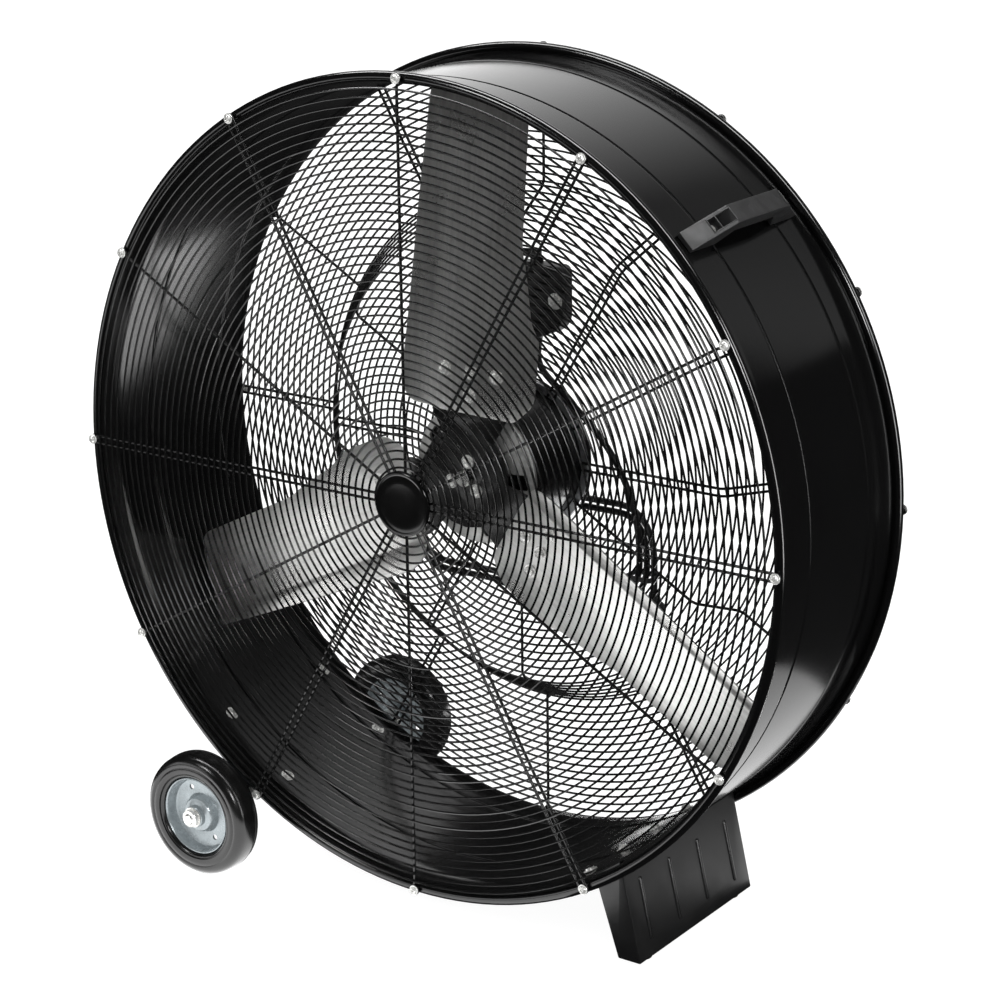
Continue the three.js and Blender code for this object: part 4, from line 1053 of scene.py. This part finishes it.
def eased_outline(corners, steps=4):
    """A closed outline of (x, z) with each corner (x, z, radius) rounded."""
    outline = []
    for i, (x, z, radius) in enumerate(corners):
        here = Vector((x, z))
        before = Vector(corners[i - 1][:2]) - here
        after = Vector(corners[(i + 1) % len(corners)][:2]) - here
        reach = min(radius, 0.45 * before.length, 0.45 * after.length)
        start, end = here + before.normalized() * reach, here + after.normalized() * reach
        for n in range(steps + 1):
            s = n / steps
            outline.append(tuple(start * (1 - s) ** 2 + here * (2 * s * (1 - s)) + end * s ** 2))
    return outline


def on_blade(degrees):
    """The move from a flat blade along +X to its pitched place round the axis."""
    lean = Matrix.Rotation(math.radians(BLADE_LEAN), 4, "Z")
    tilt = Matrix.Translation((BLADE_PIVOT, 0, 0)) @ lean @ Matrix.Translation((-BLADE_PIVOT, 0, 0))
    pitch = Matrix.Rotation(math.radians(BLADE_PITCH), 4, "X")
    return to_angle(degrees) @ Matrix.Translation((0, BLADE_PLANE, 0)) @ tilt @ pitch


class FAN_OT_blades(bpy.types.Operator):
    """Cuts the three sheet blades, bends their long edge and bolts them on"""

    bl_idname = "fan.blades"
    bl_label = "Blades"

    def execute(self, context):
        piece = open_mesh("blade")
        draw([(u, 0, v) for u, v in eased_outline(BLADE_CORNERS)])
        bpy.ops.mesh.edge_face_add()
        folds = [BLADE_BEND - 0.002, BLADE_BEND, BLADE_BEND + 0.002]
        for fold in folds:
            bpy.ops.mesh.select_all(action="SELECT")
            bpy.ops.mesh.bisect(plane_co=(0, 0, fold), plane_no=(0, 0, 1))
        lift, place = 0.0, folds[0]
        for n, fold in enumerate(folds):
            select_points(piece, lambda co: co.z > place + 0.05 * MM)
            turn_selected(6, "X", (0, lift, place))
            a = math.radians(6 * (n + 1))
            lift, place = lift - 0.002 * math.sin(a), place + 0.002 * math.cos(a)
        bpy.ops.mesh.select_all(action="SELECT")
        bpy.ops.mesh.normals_make_consistent(inside=False)
        bpy.ops.object.mode_set(mode="OBJECT")
        up = sum(polygon.normal.y * polygon.area for polygon in piece.data.polygons)
        offset = 1.0 if up > 0 else -1.0
        apply_modifier(piece, "SOLIDIFY", thickness=0.002, offset=offset, use_even_offset=True)
        rounded(piece, 0.0005, 2, 50)
        bolt = self.bolt()
        for n, angle in enumerate(BLADE_ANGLES):
            place = on_blade(angle)
            blade = copied(piece, f"rotor_blade_{n + 1}", place)
            dress(
                blade, FINISHES[f"blade_metal_{n + 1}"], "rotor", "blade_metal", f"fan_blade_{n + 1}",
                smooth=25
            )
            for number, (u, v) in enumerate(BLADE_BOLTS, n * len(BLADE_BOLTS) + 1):
                turned = Matrix.Translation((u, 0, v)) @ Matrix.Rotation(0.5 * number, 4, "Y")
                copy = copied(bolt, f"blade_bolt_{number}", place @ turned)
                dress(copy, FINISHES["bright_steel"], "rotor", "zinc", smooth=35)
        bpy.data.objects.remove(piece)
        bpy.data.objects.remove(bolt)
        return {"FINISHED"}

    def bolt(self):
        """A washer-head bolt with its nut behind the spider's arm."""
        washer = lathe("blade_bolt", [
            (0.0031, 0), (0.0088, 0), (0.0090, -0.0006), (0.0088, -0.0012), (0.0031, -0.0012), (0.0031, 0),
        ], 28)
        head = hex_prism("head", 0.0063, -0.0050, -0.0011)
        shank = rod("shank", 0.003, (0, -0.002, 0), (0, 0.0093, 0), 12)
        nut = hex_prism("nut", 0.0056, 0.0064, 0.0090)
        return united(washer, head, shank, nut)


class FAN_OT_hub(bpy.types.Operator):
    """Refines the spider that carries the blades, the shaft and the hub's bolts"""

    bl_idname = "fan.hub"
    bl_label = "Spider and shaft"

    def execute(self, context):
        spider = refined("fan_spider", "blade_spider", 0.0009, 2)
        dress(spider, FINISHES["motor_paint"], "rotor", "satin_paint", "fan_spider", smooth=30)
        nose = [
            (0, -0.0330), (0.0085, -0.0330), (0.0100, -0.0318), (0.0100, -0.0217), (0.0295, -0.0217),
            (0.0300, -0.0211), (0.0300, -0.0153), (0.0290, -0.0147), (0.0175, -0.0147), (0.0150, -0.0120),
            (0.0100, -0.0105), (0.0100, 0.0230), (0, 0.0230),
        ]
        shaft = lathe("rotor_shaft", nose, 40, (0, 0, sizes().axis_height))
        key = block("keyway", (0.003, 0.014, 0.004), (0, -0.033, sizes().axis_height + 0.010))
        carve(shaft, key)
        dress(shaft, FINISHES["shaft_steel"], "rotor", "shaft_steel", "fan_shaft", smooth=35)
        washer = [(0.0031, 0), (0.0086, 0), (0.0086, -0.0012), (0.0031, -0.0012), (0.0031, 0)]
        bolt = united(
            lathe("hub_bolt", washer, 24),
            hex_prism("head", 0.0062, -0.0042, -0.0010),
            rod("shank", 0.003, (0, -0.001, 0), (0, 0.0113, 0), 12),
        )
        for n in range(3):
            place = to_angle(79 + 120 * n, (0.021, -0.0261, 0))
            copy = copied(bolt, f"hub_bolt_head_{n + 1}", place)
            dress(copy, FINISHES["bright_steel"], "rotor", "zinc", f"hub_bolt_{n + 1}", smooth=35)
        bpy.data.objects.remove(bolt)
        return {"FINISHED"}


# ---------------------------------------------------------------- motor and switch box


class FAN_OT_motor(bpy.types.Operator):
    """Builds the motor with its slotted bell, mounting plate and terminal box"""

    bl_idname = "fan.motor"
    bl_label = "Motor"

    def execute(self, context):
        height = sizes().axis_height
        middle = (0, 0, height)
        outline = [(0, 0.024), (0.011, 0.024), (0.011, 0.0), (0.0855, 0.0), (0.087, 0.0012)]
        for groove in (0.012, 0.072):
            outline += [
                (0.087, groove), (0.0856, groove + 0.001), (0.0856, groove + 0.003), (0.087, groove + 0.004),
            ]
        outline += [
            (0.087, 0.0925), (0.0885, 0.0931), (0.0964, 0.0931), (0.0970, 0.0937), (0.0970, 0.0955),
            (0.0964, 0.0961), (0.0885, 0.0961), (0.087, 0.0970), (0.087, 0.1120), (0.0852, 0.1162),
            (0.0815, 0.1188), (0.078, 0.1195), (0.040, 0.1195), (0.037, 0.1185), (0.018, 0.1185),
            (0.016, 0.1200), (0, 0.1200),
        ]
        body = lathe("motor_casing", outline, 96, middle)
        bolts = []
        for angle in (15, 105, 195, 285):
            head = hex_prism("flange_bolt", 0.0045, 0.0959, 0.0988)
            bolts.append(placed(head, to_angle(angle, (0.0923, 0, 0))))
        body = united(body, *bolts)
        dress(body, FINISHES["motor_paint"], "frame", "satin_paint", "motor_body", smooth=35)

        bell = lathe("motor_end_bell", [
            (0.0860, -0.0003), (0.0860, -0.0038), (0.0850, -0.0050), (0.0640, -0.0107), (0.0610, -0.0113),
            (0.0375, -0.0113), (0.0360, -0.0106), (0.0360, -0.0080), (0.0368, -0.0073), (0.0600, -0.0073),
            (0.0820, -0.0003), (0.0860, -0.0003),
        ], 96, middle)
        for n in range(5):
            slot = block("vent", (0.030, 0.030, 0.020), (0, 0, 0))
            rounded(slot, 0.004, 3)
            carve(bell, placed(slot, to_angle(72 * n, (0.062, -0.0113, 0))))
        rounded(bell, 0.0006, 2, 40)
        dress(bell, FINISHES["cast_metal"], "frame", "cast_metal", "motor_bell", smooth=35)

        plate = lathe("motor_mounting_ring", [
            (0.0880, 0.0900), (0.0883, 0.0898), (0.0967, 0.0898), (0.0970, 0.0901), (0.0970, 0.0925),
            (0.0967, 0.0928), (0.0883, 0.0928), (0.0880, 0.0926), (0.0880, 0.0900),
        ], 96, middle)
        dress(plate, FINISHES["plate_metal"], "frame", "plate_metal", "motor_plate", smooth=30)
        box = refined("terminal_box", "terminal_cover", 0.0012, 3, 35)
        lid = block("terminal_lid", (0.050, 0.050, 0.0016), (0, 0.048, height + 0.1172))
        rounded(lid, 0.0005, 2)
        dress(
            united(box, lid), FINISHES["black_plastic"], "frame", "black_plastic", "terminal_box", smooth=35
        )
        return {"FINISHED"}


class FAN_OT_switch_box(bpy.types.Operator):
    """Builds the switch box with its screw, turning knob, cable glands and strain relief"""

    bl_idname = "fan.switch_box"
    bl_label = "Switch box"

    def execute(self, context):
        height = sizes().axis_height
        x, z, front, back = 0.026, 0.198 + height, 0.0898, 0.1118
        shell = self.shell(x, z, front, back)
        dress(shell, FINISHES["black_plastic"], "frame", "black_plastic", "switch_box", smooth=35)

        screw = self.screw()
        placed(screw, Matrix.Translation((0.056, 0.0836, 0.200 + height)))
        dress(screw, FINISHES["bright_steel"], "frame", "zinc", "box_screw", smooth=35)

        knob = lathe("knob_disc", [
            (0, back + 0.0003), (0.0180, back + 0.0003), (0.0180, back + 0.0014), (0.0172, back + 0.0030),
            (0.0168, back + 0.0046), (0.0160, back + 0.0053), (0.0100, back + 0.0053), (0, back + 0.0055),
        ], 48, (x, 0, z))
        grip = block("grip", (0.008, 0.0115, 0.0322), (x, back + 0.0105, z))
        rounded(grip, 0.0018, 3)
        stem = rod("stem", 0.005, (x, back - 0.007, z), (x, back + 0.0012, z), 24)
        pointer = block("pointer", (0.0012, 0.0006, 0.012), (x, back + 0.0161, z + 0.008))
        knob = united(knob, grip, stem, pointer)
        dress(knob, FINISHES["black_plastic"], "knob", "black_plastic", "switch_knob", smooth=35)

        self.elbow_gland(height)
        self.cord_gland(height)
        return {"FINISHED"}

    def shell(self, x, z, front, back):
        """The housing with its two seams, rounder at its lower corners."""
        def plate(name, grow, low, high):
            outline = box_outline(0.072 + grow, 0.084 + grow, 0.010 + grow / 2, 0.026 + grow / 2)
            points = [(x + u, low, z + v) for u, v in [*outline, outline[0]]]
            return slab_piece(name, points, (0, high - low, 0))

        shell = plate("switch_housing", 0.0, front, back)
        rounded(shell, 0.0016, 3, 50)
        for depth in (front + 0.006, back - 0.005):
            groove = plate("seam", 0.0015, depth, depth + 0.0009)
            carve(groove, plate("core", -0.0012, depth - MM, depth + 2 * MM))
            carve(shell, groove)
        return shell

    def screw(self):
        """The wide-washer screw that clamps the guard's wires to the box."""
        piece = lathe("box_screw_head", [
            (0, 0.0140), (0.0030, 0.0140), (0.0030, 0), (0.0096, 0), (0.0100, -0.0004), (0.0097, -0.0012),
            (0.0056, -0.0014), (0.0054, -0.0028), (0.0044, -0.0043), (0.0026, -0.0050), (0, -0.0052),
        ], 40)
        for turn in (0, math.pi / 2):
            carve(piece, block("recess", (0.0056, 0.0036, 0.0013), (0, -0.0046, 0), (0, turn, 0)))
        return piece

    def elbow_gland(self, height):
        """The lead's gland: a nut and an upright on the box, and a ribbed arm towards -X."""
        base = height + 0.2403
        upright = lathe("motor_lead_gland", [
            (0, 0), (0.0078, 0), (0.0080, 0.0006), (0.0080, 0.0048), (0.0074, 0.0054), (0.0060, 0.0056),
            (0.0060, 0.0135), (0.0052, 0.0152), (0.0036, 0.0160), (0, 0.0160),
        ], 36)
        placed(upright, Matrix.Translation((*GLAND, base)) @ Matrix.Rotation(math.radians(90), 4, "X"))
        outline = [(0, 0), (0.0059, 0.0002), (0.0059, 0.0060)]
        for n in range(5):
            y, r = 0.0072 + 0.0031 * n, 0.0057 - 0.00024 * n
            outline += [(r - 0.0007, y), (r - 0.0007, y + 0.0009), (r, y + 0.0010), (r - 0.0001, y + 0.0021)]
        outline += [(0.0046, 0.0232), (0.0044, 0.0240), (0, 0.0240)]
        arm = lathe("arm", outline, 36)
        placed(arm, Matrix.Translation((*GLAND, base + 0.010)) @ Matrix.Rotation(math.radians(90), 4, "Z"))
        dress(
            united(upright, arm), FINISHES["black_plastic"], "frame", "black_plastic", "lead_gland", smooth=35
        )

    def cord_gland(self, height):
        """The mains cord's strain relief, tapering down from its nut under the box."""
        outline = [
            (0, 0), (0.0078, 0), (0.0080, 0.0006), (0.0080, 0.0058), (0.0072, 0.0068), (0.0068, 0.0074),
        ]
        for n in range(4):
            y, r = 0.0080 + 0.0022 * n, 0.0066 - 0.00035 * n
            outline += [(r - 0.0006, y), (r - 0.0006, y + 0.0007), (r, y + 0.0008), (r - 0.0001, y + 0.0015)]
        outline += [(0.0052, 0.0166), (0.0046, 0.0270), (0.0042, 0.0276), (0, 0.0276)]
        gland = lathe("mains_strain_relief", outline, 36)
        place = Matrix.Translation((*GLAND, height + 0.1557)) @ Matrix.Rotation(math.radians(-90), 4, "X")
        dress(
            placed(gland, place), FINISHES["black_plastic"], "frame", "black_plastic", "cord_gland", smooth=35
        )


# ---------------------------------------------------------------- wheels and carriage

WHEEL_X = -0.283
WHEEL_PLANE = 0.202


class FAN_OT_wheels(bpy.types.Operator):
    """Builds both wheels: rubber tyre, pressed zinc disc, axle, washers and nuts"""

    bl_idname = "fan.wheels"
    bl_label = "Wheels"

    def tyre(self, r):
        return lathe("tyre", [
            (0.0503, 0.0140), (0.0503, -0.0140), (0.0514, -0.0166), (0.0528, -0.0180), (0.0541, -0.0183),
            (0.0547, -0.0176), (0.0555, -0.0176), (0.0560, -0.0190), (0.0590, -0.0196), (0.0632, -0.0199),
            (0.0640, -0.0192), (0.0647, -0.0192), (0.0655, -0.0199), (0.0690, -0.0194), (0.0725, -0.0176),
            (0.0755, -0.0142), (0.0772, -0.0095), (r - 0.0006, -0.0030), (r, 0.0030), (r, 0.0060),
            (r - 0.0014, 0.0066), (r - 0.0014, 0.0078), (r - 0.0002, 0.0084), (r - 0.0006, 0.0106),
            (r - 0.0024, 0.0112), (r - 0.0024, 0.0124), (r - 0.0014, 0.0130), (r - 0.0035, 0.0158),
            (0.0715, 0.0184), (0.0650, 0.0198), (0.0590, 0.0197), (0.0545, 0.0188), (0.0518, 0.0170),
            (0.0503, 0.0140),
        ], 128)

    def disc(self):
        piece = lathe("disc", [
            (0.0500, -0.0128), (0.0490, -0.0150), (0.0478, -0.0152), (0.0468, -0.0140), (0.0462, -0.0110),
            (0.0455, -0.0040), (0.0440, -0.0010), (0.0410, 0.0000), (0.0300, 0.0002), (0.0255, -0.0002),
            (0.0240, -0.0020), (0.0225, -0.0080), (0.0205, -0.0105), (0.0165, -0.0112), (0.0140, -0.0125),
            (0.0135, -0.0180), (0.0125, -0.0190), (0.0090, -0.0190), (0.0090, 0.0190), (0.0125, 0.0190),
            (0.0140, 0.0180), (0.0140, 0.0030), (0.0430, 0.0026), (0.0470, 0.0040), (0.0475, 0.0128),
            (0.0490, 0.0138), (0.0500, 0.0128), (0.0500, -0.0128),
        ], 96)
        for n in range(4):
            a = math.radians(30 + 90 * n)
            hole = rod("hole", 0.0036, (0.0345 * math.cos(a), -0.02, 0.0345 * math.sin(a)),
                       (0.0345 * math.cos(a), 0.02, 0.0345 * math.sin(a)), 24)
            carve(piece, hole)
        return piece

    def nut(self):
        washer = lathe("nut", [
            (0.0066, 0), (0.0128, 0), (0.0130, -0.0004), (0.0128, -0.0012), (0.0066, -0.0012), (0.0066, 0),
        ], 40)
        nut = lathe("dome", [
            (0.0066, -0.0011), (0.0108, -0.0011), (0.0110, -0.0016), (0.0110, -0.0062), (0.0104, -0.0070),
            (0.0066, -0.0072), (0.0066, -0.0011),
        ], 40)
        return united(washer, nut)

    def execute(self, context):
        r = sizes().wheel_radius
        middle = Vector((WHEEL_X, 0, r))
        tyre, disc, nut = self.tyre(r), self.disc(), self.nut()
        for side, where in ((FRONT, "front"), (REAR, "rear")):
            facing = Matrix.Identity(4) if side == FRONT else Matrix.Rotation(math.pi, 4, "X")
            place = Matrix.Translation(middle + Vector((0, side * WHEEL_PLANE, 0))) @ facing
            piece = copied(tyre, f"{where}_rubber_tyre", place)
            dress(piece, FINISHES["tyre_rubber"], f"{where}_wheel", "tyre_rubber", f"{where}_tyre", smooth=50)
            piece = copied(disc, f"{where}_steel_disc", place)
            dress(piece, FINISHES["zinc"], f"{where}_wheel", "zinc", f"{where}_wheel_disc", smooth=35)
            place = Matrix.Translation(middle + Vector((0, side * 0.2216, 0))) @ facing
            piece = copied(nut, f"{where}_end_nut", place)
            dress(piece, FINISHES["bright_steel"], "frame", "zinc", f"{where}_axle_nut", smooth=35)
        for pattern in (tyre, disc, nut):
            bpy.data.objects.remove(pattern)
        half = [(0.011, 0.1822), (0.0105, 0.1827), (0.008, 0.1827), (0.008, 0.2210), (0.0060, 0.2213)]
        for n in range(7):
            half += [(0.0060, 0.2220 + 0.0011 * n), (0.0055, 0.22255 + 0.0011 * n)]
        half += [(0.0058, 0.2298), (0.0048, 0.2305)]
        outline = [(0, -0.2305)] + [(radius, -y) for radius, y in reversed(half)] + half + [(0, 0.2305)]
        axle = lathe("axle_rod", outline, 32, middle)
        dress(axle, FINISHES["shaft_steel"], "frame", "shaft_steel", "wheel_axle", smooth=35)
        carriage = refined("wheel_carriage", "axle_carriage", 0.0007, 2)
        dress(carriage, FINISHES["satin_paint"], "frame", "drum_paint", "wheel_carriage", smooth=30)
        return {"FINISHED"}


# ---------------------------------------------------------------- foot, handle and wall bolts


class FAN_OT_foot(bpy.types.Operator):
    """Folds the foot's tapered sheet box with its pressed ribs and bolting strip, and sets its rubber pads"""

    bl_idname = "fan.foot"
    bl_label = "Foot"

    low_z = 0.005
    bottom = (0.2810, 0.3116)  # x of its underside
    tops = (301.2, 306.4)  # degrees round the drum where its long sides meet the wall
    half, sheet = 0.126, 0.0025
    rib_radius, rib_sunk, rib_half = 0.0042, 0.0023, 0.039
    strip_angle, strip_sweep = 302.0, 5.6  # degrees
    pad_x, pad_y = 0.2963, 0.098

    def execute(self, context):
        size = sizes()
        inner, outer = (round_axis(size.drum_radius - 0.003, 0, angle) for angle in self.tops)
        a, b = Vector((self.bottom[0], 0, self.low_z)), Vector((self.bottom[1], 0, self.low_z))
        foot = self.prism("foot_box", [a, b, outer, inner], self.half)
        rounded(foot, 0.0014, 3, 30)
        inwards = Vector((self.sheet, 0, 0))
        hollow = [a.lerp(inner, 0.02) + inwards, b.lerp(outer, 0.02) - inwards,
                  b.lerp(outer, 1.4) - inwards, a.lerp(inner, 1.4) + inwards]
        carve(foot, self.prism("hollow", hollow, self.half - self.sheet))
        up = (outer - b).normalized()
        outwards = Vector((up.z, 0, -up.x))
        middle = b.lerp(outer, 0.45) - self.rib_sunk * outwards
        for n in range(4):
            place = middle + Vector((0, (n - 1.5) * self.half / 2, 0))
            rib = rod("rib", self.rib_radius, place - self.rib_half * up, place + self.rib_half * up, 20)
            rounded(rib, 0.0038, 4, 50)
            carve(foot, rib, "UNION")
        height = size.axis_height
        carve(foot, rod("drum_space", size.drum_radius + 0.1 * MM, (0, -0.2, height), (0, 0.2, height), 160))
        strip = open_mesh("strip")
        r, end = size.drum_radius + 0.1 * MM, self.half - 0.011
        section = [(r, -end), (r + self.sheet, -end), (r + self.sheet, end), (r, end), (r, -end)]
        spun(section, 6, sweep=self.strip_sweep)
        bpy.ops.mesh.select_all(action="DESELECT")
        bpy.ops.mesh.select_non_manifold()
        bpy.ops.mesh.edge_face_add()
        strip = placed(close_mesh(strip), to_angle(self.strip_angle))
        dress(united(foot, strip), FINISHES["satin_paint"], "frame", "satin_paint", "foot_bracket", smooth=35)
        pad = [
            (0, 0.0000), (0.0100, 0.0000), (0.0115, 0.0010), (0.0120, 0.0032), (0.0112, 0.0047), (0, 0.0047),
        ]
        for side, where in ((FRONT, "front"), (REAR, "rear")):
            piece = lathe(f"{where}_rubber_pad", pad, 36)
            place = Matrix.Translation((self.pad_x, side * self.pad_y, 0))
            placed(piece, place @ Matrix.Rotation(math.pi / 2, 4, "X"))
            dress(piece, FINISHES["tyre_rubber"], "frame", "tyre_rubber", f"{where}_foot_pad", smooth=40)
        return {"FINISHED"}

    def prism(self, name, corners, half):
        """A bar along Y, as long as twice a half, over these corners."""
        ring = [Vector((corner.x, -half, corner.z)) for corner in [*corners, corners[0]]]
        return slab_piece(name, ring, (0, 2 * half, 0))


class FAN_OT_handle(bpy.types.Operator):
    """Moulds the bridge handle with its framed pockets and their screws"""

    bl_idname = "fan.handle"
    bl_label = "Handle"

    angle = 44.2  # degrees round the drum
    screw_radius, screw_places = 0.4923, (-0.055, 0.079)
    pocket_low, pocket_high, pocket_half = 0.5026, 0.5183, 0.0082
    pockets = ((-0.0685, -0.0415), (0.0925, 0.0655))  # y of each pocket's lower and upper end
    bar_share = 0.35  # of the way up to the bar across a pocket

    def execute(self, context):
        handle = refined("handle", "carry_handle", 0.0012, 3, 20)
        half, turn = self.pocket_half, to_angle(self.angle)
        frames = []
        for low, high in self.pockets:
            start, end = Vector((self.pocket_low, low)), Vector((self.pocket_high, high))
            frames.append([(*start, half), (*end, half), (*end, -half), (*start, -half)])
            bar = start.lerp(end, self.bar_share)
            frames.append([(*bar, half), (*bar, -half), (*bar, -half), (*bar, half)])
        routes = [[turn @ Vector(place) for place in frame] for frame in frames]
        handle = united(handle, wires("pocket_frames", routes, 0.0018, closed=True))
        dress(handle, FINISHES["black_plastic"], "frame", "black_plastic", "handle", smooth=35)
        screw = pan_screw("handle_screw")
        for n, y in enumerate(self.screw_places):
            place = to_angle(self.angle, (self.screw_radius, y, 0))
            copy = copied(
                screw, f"handle_screw_head_{n + 1}", place @ Matrix.Rotation(math.radians(90), 4, "Z")
            )
            dress(copy, FINISHES["bright_steel"], "frame", "zinc", f"handle_screw_{n + 1}", smooth=35)
        bpy.data.objects.remove(screw)
        return {"FINISHED"}


class FAN_OT_wall_bolts(bpy.types.Operator):
    """Sets the bolts of the carriage and the foot through the drum's wall"""

    bl_idname = "fan.wall_bolts"
    bl_label = "Wall bolts"

    carriage_angle, carriage_spread, carriage_y = 233.7, 6.6, 0.093
    foot_angle, foot_pitch = 298.8, 0.071

    def bolt(self):
        piece = lathe("wall_bolt", [
            (0, 0.011), (0.003, 0.011), (0.003, 0), (0.0084, 0), (0.0086, -0.0005), (0.0084, -0.0012),
            (0.0058, -0.0013), (0.0057, -0.0028), (0.0048, -0.0044), (0.0030, -0.0053), (0, -0.0056),
        ], 32)
        for turn in (0, math.pi / 2):
            carve(piece, block("recess", (0.0060, 0.004, 0.0014), (0, -0.0050, 0), (0, turn, 0)))
        return united(piece, hex_prism("nut", 0.0056, 0.0058, 0.0092))

    def execute(self, context):
        pattern = self.bolt()
        inside = sizes().drum_radius - 0.0022
        spots = []
        for end in (-1, 1):
            for side in (-1, 1):
                angle = self.carriage_angle + side * self.carriage_spread
                spots.append(("carriage", angle, end * self.carriage_y))
        spots += [("foot", self.foot_angle, (i - 1.5) * self.foot_pitch) for i in range(4)]
        for n, (kind, angle, y) in enumerate(spots):
            place = to_angle(angle, (inside, y, 0)) @ Matrix.Rotation(math.radians(-90), 4, "Z")
            number = n % 4 + 1
            copy = copied(pattern, f"{kind}_wall_bolt_{number}", place)
            dress(copy, FINISHES["bright_steel"], "frame", "zinc", f"{kind}_bolt_{number}", smooth=35)
        bpy.data.objects.remove(pattern)
        return {"FINISHED"}


# ---------------------------------------------------------------- panel and running


PIECES = (
    FAN_OT_stage, FAN_OT_cords, FAN_OT_drum, FAN_OT_front_guard, FAN_OT_rim_screws, FAN_OT_rear_guard,
    FAN_OT_blades, FAN_OT_hub, FAN_OT_motor, FAN_OT_switch_box, FAN_OT_wheels, FAN_OT_foot, FAN_OT_handle,
    FAN_OT_wall_bolts,
)


class FAN_PT_sidebar(bpy.types.Panel):
    """Lists the fan's pieces and its settings"""

    bl_idname = "FAN_PT_sidebar"
    bl_label = "Drum Fan"
    bl_space_type = "VIEW_3D"
    bl_region_type = "UI"
    bl_category = "Drum Fan"

    def draw(self, context):
        column = self.layout.column()
        for piece in PIECES:
            column.operator(piece.bl_idname)
        for group in (context.scene.fan_sizes, context.scene.fan_colours, context.scene.fan_studio):
            for name in group.__annotations__:
                column.prop(group, name)


GROUPS = {"fan_sizes": FanSizes, "fan_colours": FanColours, "fan_studio": StudioSettings}
CLASSES = (*GROUPS.values(), *PIECES, FAN_PT_sidebar)


def register():
    for cls in CLASSES:
        bpy.utils.register_class(cls)
    for name, group in GROUPS.items():
        setattr(bpy.types.Scene, name, PointerProperty(type=group))


def unregister():
    for name in GROUPS:
        delattr(bpy.types.Scene, name)
    for cls in reversed(CLASSES):
        bpy.utils.unregister_class(cls)


def main():
    """Builds every piece in order."""
    register()
    for piece in PIECES:
        category, name = piece.bl_idname.split(".")
        getattr(getattr(bpy.ops, category), name)()
    deselect()


if __name__ == "__main__":
    main()
